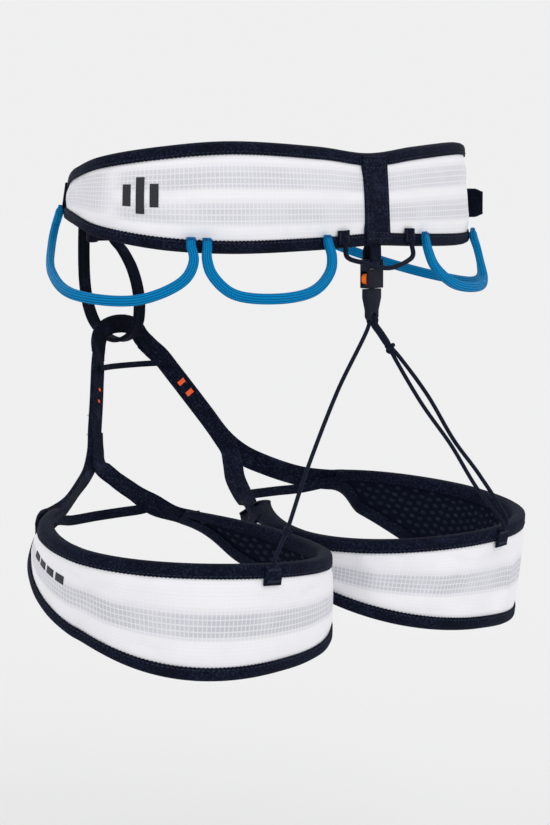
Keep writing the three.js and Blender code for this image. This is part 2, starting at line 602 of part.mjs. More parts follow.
const rightStart = eyeBelow.clone().add(vector(-2.4, 0, -1));
const SLEEVE = 5;
const sleeveEnd = between(rightStart, rightHook, 0.12);
addPart('riser_sleeve_right', straightCord(rightStart, sleeveEnd, SLEEVE, 4), NAVY_TAPE);
addPart('riser_knot_right', knot(between(rightStart, rightHook, 0.155), 4.2), NAVY_TAPE);
const strandOffsets = [['inner', vector(1.6, 0.6, -1.6)], ['outer', vector(-1.6, 0.6, 1.6)]];
for (const [strandName, offset] of strandOffsets) {
  const start = between(rightStart, rightHook, 0.195).add(offset);
  const end = rightHook.clone().add(offset);
  addPart(`riser_cord_right_${strandName}`, straightCord(start, end, RISER_CORD, 16), NAVY_TAPE);
}

export default group;
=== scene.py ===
"""The climbing harness's visual model: padded belt and leg loops, webbing, gear loops, risers.

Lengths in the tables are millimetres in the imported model's frame: the wearer faces -Y, the
wearer's left is +X and +Z is up. Meshes are written in metres.
"""
import math

import bmesh
import bpy
import numpy as np
from mathutils import Matrix, Vector


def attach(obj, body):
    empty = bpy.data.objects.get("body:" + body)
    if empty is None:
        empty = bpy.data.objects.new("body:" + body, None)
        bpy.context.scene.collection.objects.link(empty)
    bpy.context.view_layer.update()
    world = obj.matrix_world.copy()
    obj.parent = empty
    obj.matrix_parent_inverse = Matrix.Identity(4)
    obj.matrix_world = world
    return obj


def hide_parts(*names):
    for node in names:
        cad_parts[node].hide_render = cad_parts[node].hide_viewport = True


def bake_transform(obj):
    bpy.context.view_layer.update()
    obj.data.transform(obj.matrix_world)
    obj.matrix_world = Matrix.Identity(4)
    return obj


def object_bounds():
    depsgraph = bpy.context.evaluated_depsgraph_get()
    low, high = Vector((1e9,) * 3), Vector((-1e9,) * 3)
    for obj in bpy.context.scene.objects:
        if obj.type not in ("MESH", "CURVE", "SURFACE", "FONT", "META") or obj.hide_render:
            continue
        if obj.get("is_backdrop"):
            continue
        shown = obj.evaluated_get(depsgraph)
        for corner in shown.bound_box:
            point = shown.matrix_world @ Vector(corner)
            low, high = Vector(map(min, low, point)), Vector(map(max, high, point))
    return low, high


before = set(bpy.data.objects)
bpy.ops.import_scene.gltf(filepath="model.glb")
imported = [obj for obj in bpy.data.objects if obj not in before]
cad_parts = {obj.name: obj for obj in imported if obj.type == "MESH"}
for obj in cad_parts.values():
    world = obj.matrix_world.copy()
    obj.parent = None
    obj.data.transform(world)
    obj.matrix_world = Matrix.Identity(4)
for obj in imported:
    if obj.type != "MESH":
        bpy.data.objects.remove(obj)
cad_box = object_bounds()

MM = 0.001
SIDES = (("left", 1), ("right", -1))

# ------------------------------------------------------------------ camera and lights
CAMERA_AT = (1.2098, 1.1239, 0.0288)
CAMERA_RIGHT = (-0.68081663, 0.7324539, 0.0)
CAMERA_UP = (-0.07296512, -0.06782115, 0.99502582)
CAMERA_LENS = 113.45
# Name, direction it comes from, strength and how wide it is, in degrees.
SUNS = (
    ("key", (0.2, 1.0, 0.75), 0.62, 50),
    ("fill", (1.0, -0.2, 0.5), 0.28, 80),
    ("front", (-0.6, -1.0, 0.6), 0.35, 80),
)
FLOOR_AT = -0.47
BACKDROP = (0.866, 0.866, 0.868)


def make_camera():
    right = Vector(CAMERA_RIGHT).normalized()
    up = Vector(CAMERA_UP).normalized()
    back = right.cross(up).normalized()
    data = bpy.data.cameras.new("camera")
    data.lens = CAMERA_LENS
    data.sensor_width = 36
    data.clip_end = 50
    camera = bpy.data.objects.new("camera", data)
    camera.matrix_world = Matrix((right, up, back)).transposed().to_4x4()
    camera.location = CAMERA_AT
    bpy.context.scene.collection.objects.link(camera)
    bpy.context.scene.camera = camera


def make_lights():
    world = bpy.data.worlds.new("studio")
    bpy.context.scene.world = world
    world.use_nodes = True
    background = world.node_tree.nodes["Background"]
    background.inputs[0].default_value = (*BACKDROP, 1)
    background.inputs[1].default_value = 1.0
    for name, place, power, soft in SUNS:
        data = bpy.data.lights.new(name, "SUN")
        data.energy = power
        data.angle = math.radians(soft)
        lamp = bpy.data.objects.new(name, data)
        lamp.location = place
        lamp.rotation_euler = (-Vector(place)).to_track_quat("-Z", "Y").to_euler()
        bpy.context.scene.collection.objects.link(lamp)
    scene = bpy.context.scene
    scene.view_settings.view_transform = "Standard"


make_camera()
make_lights()


# ------------------------------------------------------------------ material graphs
class Graph:
    """A material's nodes, made by short calls that return sockets."""

    def __init__(self, name):
        self.material = bpy.data.materials.new(name)
        self.material.use_nodes = True
        self.tree = self.material.node_tree
        self.shader = self.tree.nodes["Principled BSDF"]

    def node(self, kind, settings=(), **inputs):
        made = self.tree.nodes.new("ShaderNode" + kind)
        for key, value in dict(settings).items():
            setattr(made, key, value)
        for key, value in inputs.items():
            self.feed(made.inputs[key.replace("_", " ")], value)
        return made

    def feed(self, socket, value):
        if isinstance(value, bpy.types.NodeSocket):
            self.tree.links.new(value, socket)
        else:
            socket.default_value = value

    def math(self, operation, *values):
        made = self.tree.nodes.new("ShaderNodeMath")
        made.operation = operation
        for socket, value in zip(made.inputs, values):
            self.feed(socket, value)
        return made.outputs[0]

    def ramp(self, value, low, high, to_low=0.0, to_high=1.0):
        """A smooth step from to_low at low to to_high at high."""
        made = self.node("MapRange", {"interpolation_type": "SMOOTHSTEP"})
        for key, item in zip(range(5), (value, low, high, to_low, to_high)):
            self.feed(made.inputs[key], item)
        return made.outputs[0]

    def mix(self, factor, first, second):
        made = self.node("Mix", {"data_type": "RGBA"})
        for index, item in ((0, factor), (6, first), (7, second)):
            if isinstance(item, tuple) and len(item) == 3:
                item = (*item, 1)
            self.feed(made.inputs[index], item)
        return made.outputs[2]

    def noise(self, scale, detail=2.0, vector=None):
        made = self.node("TexNoise", Scale=scale, Detail=detail)
        self.tree.links.new(vector or self.place(), made.inputs["Vector"])
        return made.outputs["Fac"]

    def place(self):
        return self.node("TexCoord").outputs["Object"]

    def cloth(self):
        """Millimetres along and across the piece."""
        parts = self.node("SeparateXYZ")
        self.tree.links.new(self.node("UVMap", {"uv_map": "cloth"}).outputs[0], parts.inputs[0])
        return parts.outputs[0], parts.outputs[1]

    def wave(self, distance, pitch, phase=0.0):
        """A wave from 0 to 1 with the given pitch."""
        turn = self.math("MULTIPLY_ADD", distance, 2 * math.pi / pitch, phase)
        return self.math("MULTIPLY_ADD", self.math("SINE", turn), 0.5, 0.5)

    def attribute(self, name):
        return self.node("Attribute", {"attribute_name": name}).outputs["Fac"]

    def finish(self, colour, roughness, height=None, depth=0.0001, strength=1.0, **constants):
        if isinstance(colour, tuple):
            colour = (*colour, 1)
        self.feed(self.shader.inputs["Base Color"], colour)
        self.feed(self.shader.inputs["Roughness"], roughness)
        for key, value in constants.items():
            self.shader.inputs[key.replace("_", " ")].default_value = value
        if height is not None:
            bump = self.node("Bump", Strength=strength, Distance=depth, Height=height)
            self.tree.links.new(bump.outputs[0], self.shader.inputs["Normal"])
        return self.material


WHITE = (0.875, 0.873, 0.905)
GREY = (0.518, 0.514, 0.567)
GRID_PITCH = 2.6


def ripstop(name):
    """White ripstop: a raised grid, grey where only the thin face cloth shows light through."""
    g = Graph(name)
    u, v = g.cloth()
    grid = [g.ramp(g.math("PINGPONG", way, GRID_PITCH / 2), 0.16, 0.42, 1.0, 0.0) for way in (u, v)]
    lines = g.math("MAXIMUM", grid[0], grid[1])
    weave = g.math("MULTIPLY", g.wave(u, 0.55), g.wave(v, 0.55))
    cloudy = g.noise(38.0, 3.0)
    fine = g.noise(420.0, 2.0)
    thin = g.attribute("thin")
    ribs = g.wave(v, 1.7)
    white = g.mix(g.math("MULTIPLY", ribs, 0.35), WHITE, (0.815, 0.812, 0.85))
    grey = g.mix(g.math("MULTIPLY", lines, 0.75), GREY, (0.80, 0.797, 0.84))
    colour = g.mix(thin, white, grey)
    colour = g.mix(g.ramp(cloudy, 0.35, 0.7, 0.0, 0.35), colour, (0.78, 0.775, 0.835))
    colour = g.mix(g.math("MULTIPLY", fine, 0.10), colour, (0.66, 0.66, 0.72))
    height = g.math("MULTIPLY_ADD", weave, 0.25, g.math("MULTIPLY", lines, 0.75))
    height = g.math("MULTIPLY_ADD", ribs, 0.25, height)
    rough = g.ramp(fine, 0.2, 0.8, 0.52, 0.72)
    return g.finish(colour, rough, height, 0.00012, 0.55, Sheen_Weight=0.15, Specular_IOR_Level=0.35)


def knit(name, dark, light, pitch=1.1, gloss=0.01, depth=0.00022):
    """Heathered navy knit, with a chevron of stitches along the tape."""
    g = Graph(name)
    u, v = g.cloth()
    chevron = g.math("MULTIPLY_ADD", g.math("PINGPONG", v, pitch), 0.8, u)
    stitches = g.wave(chevron, pitch)
    rows = g.wave(v, pitch * 2)
    heather = g.noise(900.0, 3.0)
    patches = g.noise(60.0, 3.0)
    colour = g.mix(g.ramp(heather, 0.42, 0.72), dark, light)
    colour = g.mix(g.ramp(patches, 0.4, 0.75, 0.0, 0.55), colour, tuple(0.5 * c for c in dark))
    colour = g.mix(g.math("MULTIPLY", stitches, 0.35), colour, tuple(0.45 * c for c in dark))
    height = g.math("ADD", g.math("MULTIPLY", stitches, 0.6), g.math("MULTIPLY", rows, 0.4))
    rough = g.ramp(heather, 0.2, 0.8, 0.62, 0.9)
    return g.finish(colour, rough, height, depth, 0.8, Sheen_Weight=gloss, Sheen_Roughness=0.45,
                    Sheen_Tint=(0.3, 0.4, 0.7, 1), Specular_IOR_Level=0.05)


def woven(name, dark, light, rib=1.5, gloss=0.01):
    """Flat webbing: ribs along it, a fine weave across, and a rubbed, heathered surface."""
    g = Graph(name)
    u, v = g.cloth()
    ribs = g.wave(v, rib)
    picks = g.wave(g.math("MULTIPLY_ADD", g.math("PINGPONG", v, rib), 0.5, u), 0.85)
    heather = g.noise(700.0, 3.0)
    rubbed = g.noise(75.0, 4.0)
    colour = g.mix(g.ramp(heather, 0.45, 0.75), dark, light)
    colour = g.mix(g.ramp(rubbed, 0.55, 0.8, 0.0, 0.6), colour, tuple(1.6 * c for c in light))
    colour = g.mix(g.math("MULTIPLY", ribs, 0.3), colour, tuple(0.4 * c for c in dark))
    height = g.math("MULTIPLY_ADD", picks, 0.45, g.math("MULTIPLY", ribs, 0.55))
    rough = g.ramp(heather, 0.2, 0.8, 0.58, 0.85)
    return g.finish(colour, rough, height, 0.0002, 0.75, Sheen_Weight=gloss, Sheen_Roughness=0.5,
                    Sheen_Tint=(0.3, 0.4, 0.7, 1), Specular_IOR_Level=0.05)


def braid(name, dark, light, pitch=1.3, slant=0.9, depth=0.0003, gloss=0.12, groove=0.0):
    """Braided sheath: two families of strands crossing along the cord, with grooves between its ribs that are
    sunk in the bump and painted darker as shade.
    """
    g = Graph(name)
    u, v = g.cloth()
    first = g.wave(g.math("MULTIPLY_ADD", v, slant, u), pitch)
    second = g.wave(g.math("MULTIPLY_ADD", v, -slant, u), pitch)
    strands = g.math("MAXIMUM", first, second)
    heather = g.noise(600.0, 2.0)
    colour = g.mix(g.ramp(strands, 0.35, 0.95), dark, light)
    colour = g.mix(g.math("MULTIPLY", heather, 0.3), colour, dark)
    # Painted shade: the grooves between the ribs are darkened in the colour as well as sunk in the bump.
    groove_relief_and_shade = g.ramp(g.wave(v, 1.55), 0.55, 1.0, 0.0, groove)
    colour = g.mix(groove_relief_and_shade, colour, tuple(0.35 * c for c in dark))
    rough = g.ramp(heather, 0.2, 0.8, 0.42, 0.66)
    height = g.math("SUBTRACT", strands, groove_relief_and_shade)
    return g.finish(colour, rough, height, depth, 0.8, Specular_IOR_Level=gloss)


def lining_mesh(name):
    """Spacer mesh: small hexagonal holes in a dark knit."""
    g = Graph(name)
    u, v = g.cloth()
    both = g.node("CombineXYZ", X=u, Y=v)
    cells = g.node("TexVoronoi", {"feature": "DISTANCE_TO_EDGE"}, Scale=0.85, Randomness=0.25)
    g.tree.links.new(both.outputs[0], cells.inputs["Vector"])
    walls = g.ramp(cells.outputs[0], 0.03, 0.22, 1.0, 0.0)
    heather = g.noise(500.0, 2.0)
    colour = g.mix(walls, (0.0012, 0.0022, 0.0062), (0.0062, 0.0095, 0.022))
    colour = g.mix(g.math("MULTIPLY", heather, 0.3), colour, (0.013, 0.018, 0.036))
    return g.finish(colour, g.ramp(heather, 0.2, 0.8, 0.75, 0.95), walls, 0.0003, 0.8,
                    Sheen_Weight=0.0, Specular_IOR_Level=0.03)


def plastic(name, base, light, rough=(0.3, 0.45), gloss=0.12):
    """Moulded acetal: fine spark texture and slight rubbing."""
    g = Graph(name)
    grain = g.noise(2600.0, 2.0)
    rubbed = g.noise(150.0, 3.0)
    colour = g.mix(g.ramp(rubbed, 0.45, 0.8, 0.0, 0.5), base, light)
    return g.finish(colour, g.ramp(rubbed, 0.3, 0.7, *rough), grain, 0.00004, 0.35,
                    Specular_IOR_Level=gloss)


def alloy(name):
    """Brushed, hard-anodised aluminium."""
    g = Graph(name)
    stretch = g.node("Mapping", Vector=g.place(), Scale=(220.0, 220.0, 3200.0))
    brushing = g.noise(1.0, 2.0, stretch.outputs[0])
    wear = g.noise(120.0, 3.0)
    colour = g.mix(g.ramp(wear, 0.4, 0.75), (0.45, 0.46, 0.49), (0.62, 0.63, 0.66))
    return g.finish(colour, g.ramp(brushing, 0.3, 0.7, 0.24, 0.42), brushing, 0.00003, 0.3, Metallic=1.0)


def thread(name, colour_a, colour_b):
    g = Graph(name)
    twist = g.noise(1500.0, 1.0)
    colour = g.mix(twist, colour_a, colour_b)
    return g.finish(colour, g.ramp(twist, 0.2, 0.8, 0.5, 0.7), twist, 0.00005, 0.5, Specular_IOR_Level=0.15)


def printed(name, colour, worn):
    """Print on cloth: the weave shows through it."""
    g = Graph(name)
    u, v = g.cloth()
    weave = g.math("MULTIPLY", g.wave(u, 0.6), g.wave(v, 0.6))
    speckle = g.noise(800.0, 2.0)
    mixed = g.mix(g.ramp(speckle, 0.5, 0.8, 0.0, 0.6), colour, worn)
    return g.finish(mixed, g.ramp(speckle, 0.2, 0.8, 0.5, 0.7), weave, 0.00008, 0.5)


NAVY_DARK = (0.0026, 0.0042, 0.0125)
NAVY_LIGHT = (0.020, 0.0265, 0.056)
WEB_DARK = (0.0018, 0.0030, 0.0085)
WEB_LIGHT = (0.009, 0.0125, 0.027)

LOOKS = {
    "ripstop": ripstop("white_ripstop"),
    "lining": lining_mesh("navy_spacer_mesh"),
    "tape": knit("navy_binding_tape", NAVY_DARK, NAVY_LIGHT),
    "webbing": woven("black_webbing", WEB_DARK, WEB_LIGHT),
    "strap": woven("navy_strap_webbing", NAVY_DARK, NAVY_LIGHT, 1.9),
    # The blue braid's last value, 0.75, sets how deep its rib grooves sink and how dark they are painted as
    # shade.
    "blue": braid("blue_braided_cord", (0.0, 0.125, 0.34), (0.0, 0.31, 0.70), 1.15, 0.5, 0.0003, 0.06, 0.75),
    "cord": braid("navy_elastic_cord", (0.0022, 0.0036, 0.0105), (0.012, 0.017, 0.036), 1.0, gloss=0.05),
    "plastic": plastic("navy_acetal", (0.0035, 0.0055, 0.014), (0.009, 0.013, 0.028)),
    "orange": plastic("orange_acetal", (0.95, 0.16, 0.012), (1.0, 0.24, 0.03), (0.35, 0.5)),
    "alloy": alloy("brushed_alloy"),
    "thread": thread("navy_thread", (0.012, 0.016, 0.03), (0.035, 0.043, 0.07)),
    "blue_thread": thread("blue_thread", (0.0, 0.05, 0.15), (0.01, 0.12, 0.32)),
    "dots": plastic("silicone_dots", (0.010, 0.0135, 0.026), (0.026, 0.032, 0.052), (0.5, 0.65), 0.06),
    "navy_print": printed("navy_print", (0.005, 0.007, 0.015), (0.022, 0.026, 0.04)),
    "orange_print": printed("orange_print", (1.0, 0.10, 0.008), (0.8, 0.07, 0.006)),
}


# ------------------------------------------------------------------ curves and frames
def unit(vectors):
    return vectors / np.maximum(np.linalg.norm(vectors, axis=-1, keepdims=True), 1e-12)


def smooth(value, low, high):
    t = np.clip((value - low) / (high - low), 0, 1)
    return t * t * (3 - 2 * t)


def curve(points, closed=False):
    """A centripetal Catmull-Rom curve: a function from fractions to points."""
    p = np.array(points, float)
    spans = len(p) if closed else len(p) - 1
    if closed:
        p = np.vstack([p[-1], p, p[0], p[1]])
    else:
        p = np.vstack([2 * p[0] - p[1], p, 2 * p[-1] - p[-2]])

    def at(fraction):
        t = np.atleast_1d(np.asarray(fraction, float))
        s = (t % 1.0 if closed else np.clip(t, 0, 1)) * spans
        i = np.minimum(s.astype(int), spans - 1)
        w = (s - i)[:, None]
        a, b, c, d = p[i], p[i + 1], p[i + 2], p[i + 3]
        gap = lambda one, two: (np.maximum(((one - two) ** 2).sum(1), 1e-12) ** 0.25)[:, None]
        before, here, after = gap(a, b), gap(b, c), gap(c, d)
        m = ((b - a) / before - (c - a) / (before + here) + (c - b) / here) * here
        n = ((c - b) / here - (d - b) / (here + after) + (d - c) / after) * here
        return b + m * w + (-3 * b + 3 * c - 2 * m - n) * w**2 + (2 * b - 2 * c + m + n) * w**3

    return at


def distances(points):
    steps = np.linalg.norm(np.diff(points, axis=0), axis=1)
    return np.concatenate([[0], np.cumsum(steps)])


def evened(at, count, start=0.0, end=1.0):
    """Fractions that cut a curve into equal lengths."""
    fine = np.linspace(start, end, 600)
    far = distances(at(fine))
    return np.interp(np.linspace(0, far[-1], count), far, fine)


BELT_OUTLINE = (
    (0, 80, 27, -27), (45, 78, 31, -28.5), (107, 62, 34, -29.5), (138, 37, 31, -27),
    (149, 0, 26, -21), (136, -36, 20, -14), (91, -91, 12, -12), (37, -131, 6, -19), (0, -140, 3, -23),
)
BELT_FLARE = 3.5
BELT_END = 0.415
mirrored = tuple((-x, y, top, bottom) for x, y, top, bottom in BELT_OUTLINE[-2:0:-1])
outline = BELT_OUTLINE + mirrored
belt_top = curve([(x, y, top) for x, y, top, _ in outline], True)
belt_bottom = curve([(x, y, bottom) for x, y, _, bottom in outline], True)


def belt(place):
    """Top and bottom points and outward directions, at fractions of the way round."""
    place = np.atleast_1d(np.asarray(place, float))
    along = unit(belt_top(place + 1e-4) - belt_top(place - 1e-4))
    out = unit(np.stack([-along[:, 1], along[:, 0], 0 * along[:, 0]], 1))
    return belt_top(place), belt_bottom(place) + BELT_FLARE * out, out


LEG_TOP = (96.5, 15.5, 92.5, 88, 1.85)
LEG_BOTTOM = (91, 4, 87, 90, 2.3)
LEG_TOP_HEIGHT = (-204.5, -10.5, 5, 3)
LEG_BOTTOM_HEIGHT = (-244.5, -37.5, -7, 6)
LEG_OUTER_END = math.radians(154)
LEG_INNER_END = math.radians(-135)
# Towards its ends the padding narrows, over these turns, to the webbing sewn onto it.
LEG_OUTER_TAPER = math.radians(18)
LEG_INNER_TAPER = math.radians(30)
LEG_END_HEIGHT = 16.5


def leg_rim(rim, heights, angle):
    x, y, wide, deep, exponent = rim
    mean, back, side, saddle = heights
    power = lambda value: np.sign(value) * np.abs(value) ** (2 / exponent)
    return np.stack([
        x + wide * power(np.sin(angle)),
        y + deep * power(np.cos(angle)),
        mean + back * np.cos(angle) + side * np.sin(angle) + saddle * np.cos(2 * angle),
    ], 1)


def leg_band(side):
    def at(angle):
        angle = np.atleast_1d(np.asarray(angle, float))
        out = np.stack([np.sin(angle) / LEG_TOP[2], np.cos(angle) / LEG_TOP[3], 0 * angle], 1)
        flip = np.array([side, 1, 1])
        top = leg_rim(LEG_TOP, LEG_TOP_HEIGHT, angle) * flip
        bottom = leg_rim(LEG_BOTTOM, LEG_BOTTOM_HEIGHT, angle) * flip
        near = np.minimum((LEG_OUTER_END - angle) / LEG_OUTER_TAPER,
                          (angle - LEG_INNER_END) / LEG_INNER_TAPER)
        height = np.linalg.norm(top - bottom, axis=1)
        narrowing = (1 - smooth(near, 0, 1)) * (1 - LEG_END_HEIGHT / height)
        bottom = bottom + (top - bottom) * narrowing[:, None]
        return top, bottom, unit(out) * flip
    return at


def band_point(band, place, edge, inset, depth):
    """A point on a padded band, inset from an edge and outside its outer face by depth."""
    top, bottom, out = band(place)
    up = unit(top - bottom)
    start, way = (top, -1) if edge == "top" else (bottom, 1)
    inset = np.broadcast_to(np.asarray(inset, float), (len(top),))
    depth = np.broadcast_to(np.asarray(depth, float), (len(top),))
    return start + up * (way * inset)[:, None] + out * depth[:, None]


# ------------------------------------------------------------------ meshes
def make_object(name, points, faces, look, body, cloth=None, sharp=40.0):
    mesh = bpy.data.meshes.new(name)
    mesh.from_pydata((np.asarray(points) * MM).tolist(), [], faces)
    mesh.materials.append(LOOKS[look])
    if cloth is not None:
        layer = mesh.uv_layers.new(name="cloth")
        layer.data.foreach_set("uv", np.asarray(cloth, np.float32).ravel())
    mesh.polygons.foreach_set("use_smooth", [True] * len(mesh.polygons))
    bm = bmesh.new()
    bm.from_mesh(mesh)
    bmesh.ops.recalc_face_normals(bm, faces=bm.faces)
    bm.to_mesh(mesh)
    bm.free()
    mesh.set_sharp_from_angle(angle=math.radians(sharp))
    made = bpy.data.objects.new(name, mesh)
    bpy.context.scene.collection.objects.link(made)
    if body:
        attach(made, body)
    return made


def loft_faces(rows, columns, along, around, closed=False, base=0):
    """Quads and their cloth coordinates over rows of closed sections."""
    faces, cloth = [], []
    spans = rows if closed else rows - 1
    for row in range(spans):
        after = (row + 1) % rows
        u0, u1 = along[row], along[row + 1] if row + 1 < len(along) else along[row]
        for column in range(columns):
            beside = (column + 1) % columns
            v0, v1 = around[column], around[column + 1]
            faces.append((base + row * columns + column, base + row * columns + beside,
                          base + after * columns + beside, base + after * columns + column))
            cloth += [(u0, v0), (u0, v1), (u1, v1), (u1, v0)]
    return faces, cloth


def loft(name, rows, look, body, closed=False, sharp=40.0):
    """Skins rows of section points, each a closed ring, and closes the ends with fans."""
    rows = np.asarray(rows, float)
    count, columns = rows.shape[:2]
    middle = rows.mean(axis=1)
    along = distances(np.vstack([middle, middle[:1]]) if closed else middle)
    ring = rows[count // 2]
    around = distances(np.vstack([ring, ring[:1]]))
    faces, cloth = loft_faces(count, columns, along, around, closed)
    points = rows.reshape(-1, 3)
    if not closed:
        points = np.vstack([points, middle[:1], middle[-1:]])
        for centre, row, turn in ((len(points) - 2, 0, -1), (len(points) - 1, count - 1, 1)):
            for column in range(columns):
                pair = [row * columns + column, row * columns + (column + 1) % columns][::turn]
                faces.append((pair[0], pair[1], centre))
                cloth += [(along[row], around[column])] * 3
    return make_object(name, points, faces, look, body, cloth, sharp)


def flat_section(width, thickness, bead=0.25, groove=0.12, faces=9):
    """Across and outward offsets of a woven strap's section, with rolled edges."""
    across = np.linspace(-1, 1, faces)
    lift = bead * np.abs(across) ** 6 - groove * np.exp(-((across / 0.10) ** 2))
    reach = width / 2 - thickness / 2
    upper = [(x * reach, thickness / 2 + h) for x, h in zip(across, lift)]
    right = [(reach + thickness / 2 * math.cos(a), thickness / 2 * math.sin(a))
             for a in (math.radians(45), 0.0, math.radians(-45))]
    lower = [(x, -y) for x, y in reversed(upper)]
    left = [(-x, -y) for x, y in right]
    return np.array(upper + right + lower + left)


def round_section(radius, sides=12):
    angles = np.linspace(0, 2 * math.pi, sides, endpoint=False)
    return np.stack([radius * np.cos(angles), radius * np.sin(angles)], 1)


def swept(name, path, facing, section, look, body, steps=60, scale=None, sharp=40.0):
    """Sweeps a section along a path. scale gives (across, out) factors at each fraction."""
    at = curve(path)
    one_way = np.array(facing, float)
    towards = curve(facing) if len(facing) > 1 else (lambda t: np.repeat(one_way, len(t), 0))
    fractions = evened(at, steps)
    centre = at(fractions)
    step = 1e-3
    along = unit(at(np.minimum(fractions + step, 1)) - at(np.maximum(fractions - step, 0)))
    out = towards(fractions)
    out = unit(out - along * (out * along).sum(1, keepdims=True))
    across = np.cross(along, out)
    section = np.asarray(section, float)
    factor = np.ones((len(fractions), 2)) if scale is None else np.array([scale(f) for f in fractions])
    rows = (centre[:, None]
            + across[:, None] * (section[None, :, :1] * factor[:, None, :1])
            + out[:, None] * (section[None, :, 1:] * factor[:, None, 1:]))
    return loft(name, rows, look, body, sharp=sharp)


def tube(name, path, section, look, body, steps=60, closed=False, scale=None):
    """A cord: the section keeps its turn along the path."""
    at = curve(path, closed)
    fractions = evened(at, steps + (1 if closed else 0))
    if closed:
        fractions = fractions[:-1]
    centre = at(fractions)
    if closed:
        along = unit(np.roll(centre, -1, 0) - np.roll(centre, 1, 0))
    else:
        along = unit(np.gradient(centre, axis=0))
    normal = np.cross(along[0], (0.13, 0.27, 0.95))
    rows = []
    section = np.asarray(section, float)
    for index, (point, way) in enumerate(zip(centre, along)):
        normal = normal - way * normal.dot(way)
        normal = normal / np.linalg.norm(normal)
        side = np.cross(way, normal)
        size = 1.0 if scale is None else scale(index / (len(centre) - 1))
        rows.append(point + size * (section[:, :1] * normal + section[:, 1:] * side))
    return loft(name, rows, look, body, closed)


def joined(name, pieces, body):
    """Joins separate meshes into one named piece."""
    bpy.ops.object.select_all(action="DESELECT")
    for piece in pieces:
        piece.select_set(True)
    bpy.context.view_layer.objects.active = pieces[0]
    bpy.ops.object.join()
    made = bpy.context.view_layer.objects.active
    made.select_set(False)
    made.name = name
    made.data.name = name
    if body:
        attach(made, body)
    return made


# Small repeated bodies, such as stitches: ellipsoid-like beads laid along a surface.
BEAD_SIDES = 6


def beads(name, places, look, body):
    """Beads at (middle, long way, out way, half length, half width, half height) each."""
    rings = ((-1.0, 0.0), (-0.72, 0.75), (0.0, 1.0), (0.72, 0.75), (1.0, 0.0))
    points, faces = [], []
    angles = np.linspace(0, 2 * math.pi, BEAD_SIDES, endpoint=False)
    for middle, way, out, length, width, height in places:
        side = np.cross(way, out)
        base = len(points)
        points.append(middle - way * length)
        for shift, size in rings[1:-1]:
            for angle in angles:
                points.append(middle + way * (shift * length) + side * (size * width * math.cos(angle))
                              + out * (size * height * math.sin(angle)))
        points.append(middle + way * length)
        last = len(points) - 1
        for k in range(BEAD_SIDES):
            beside = (k + 1) % BEAD_SIDES
            faces.append((base, base + 1 + beside, base + 1 + k))
            for ring in range(2):
                a = base + 1 + ring * BEAD_SIDES
                faces.append((a + k, a + beside, a + BEAD_SIDES + beside, a + BEAD_SIDES + k))
            faces.append((base + 1 + 2 * BEAD_SIDES + k, base + 1 + 2 * BEAD_SIDES + beside, last))
    return make_object(name, np.array(points), faces, look, body, None, 80.0)


THREAD = 0.26


def seam(band, start, end, edge, inset, depth, pitch=3.0, length=1.05):
    """Running stitches along a band."""
    rough = band_point(band, np.linspace(start, end, 300), edge, inset, depth)
    count = int(round(distances(rough)[-1] / pitch))
    at = lambda t: band_point(band, start + (end - start) * np.asarray(t), edge, inset, depth)
    fractions = evened(at, count)[1:-1]
    middle = at(fractions)
    way = unit(at(fractions + 1e-3) - at(fractions - 1e-3))
    out = band(start + (end - start) * fractions)[2]
    return [(m, w, o, length, THREAD, THREAD) for m, w, o in zip(middle, way, out)]


def bartack(middle, along, out, length, width, rows=9):
    """A dense zig-zag of thread across a small box."""
    along, out = unit(np.asarray(along, float)), np.asarray(out, float)
    out = unit(out - along * out.dot(along))
    across = np.cross(along, out)
    found = []
    for row in range(rows):
        shift = (row + 0.5) / rows - 0.5
        way = unit(across + along * (0.35 if row % 2 else -0.35) * length / rows)
        found.append((np.asarray(middle, float) + along * shift * length, way, out, width / 2, 0.28, 0.32))
    return found


# ------------------------------------------------------------------ padded bands
PADDING = 6.35
EDGE_RADIUS = 2.2
PUFF_OUT = 1.7
PUFF_IN = 1.3
ACROSS = 18
SIM_FRAMES = 14


def band_rows(band, places):
    """Sections of the whole pad, from the lower edge up the outside and down the inside."""
    levels = np.linspace(0, 1, ACROSS + 1)
    top, bottom, out = band(places)
    height = np.linalg.norm(top - bottom, axis=1)
    ends = np.minimum(np.arange(len(places)), np.arange(len(places))[::-1])
    full = smooth(ends.astype(float), -1.5, 4.0)
    rows = []
    for t, b, o, h, f in zip(top, bottom, out, height, full):
        face = b + (t - b) * levels[:, None]
        past = np.clip(1 - np.minimum(levels, 1 - levels) * h / EDGE_RADIUS, 0, 1)
        rounding = np.sqrt(np.clip(1 - past ** 2, 0.02, 1))
        middle = -PADDING / 2
        outer = middle + (PADDING / 2) * rounding * (0.35 + 0.65 * f)
        inner = middle - (PADDING / 2) * rounding * (0.35 + 0.65 * f)
        rows.append(np.vstack([face + o * outer[:, None], (face + o * inner[:, None])[::-1]]))
    return np.array(rows), height, levels


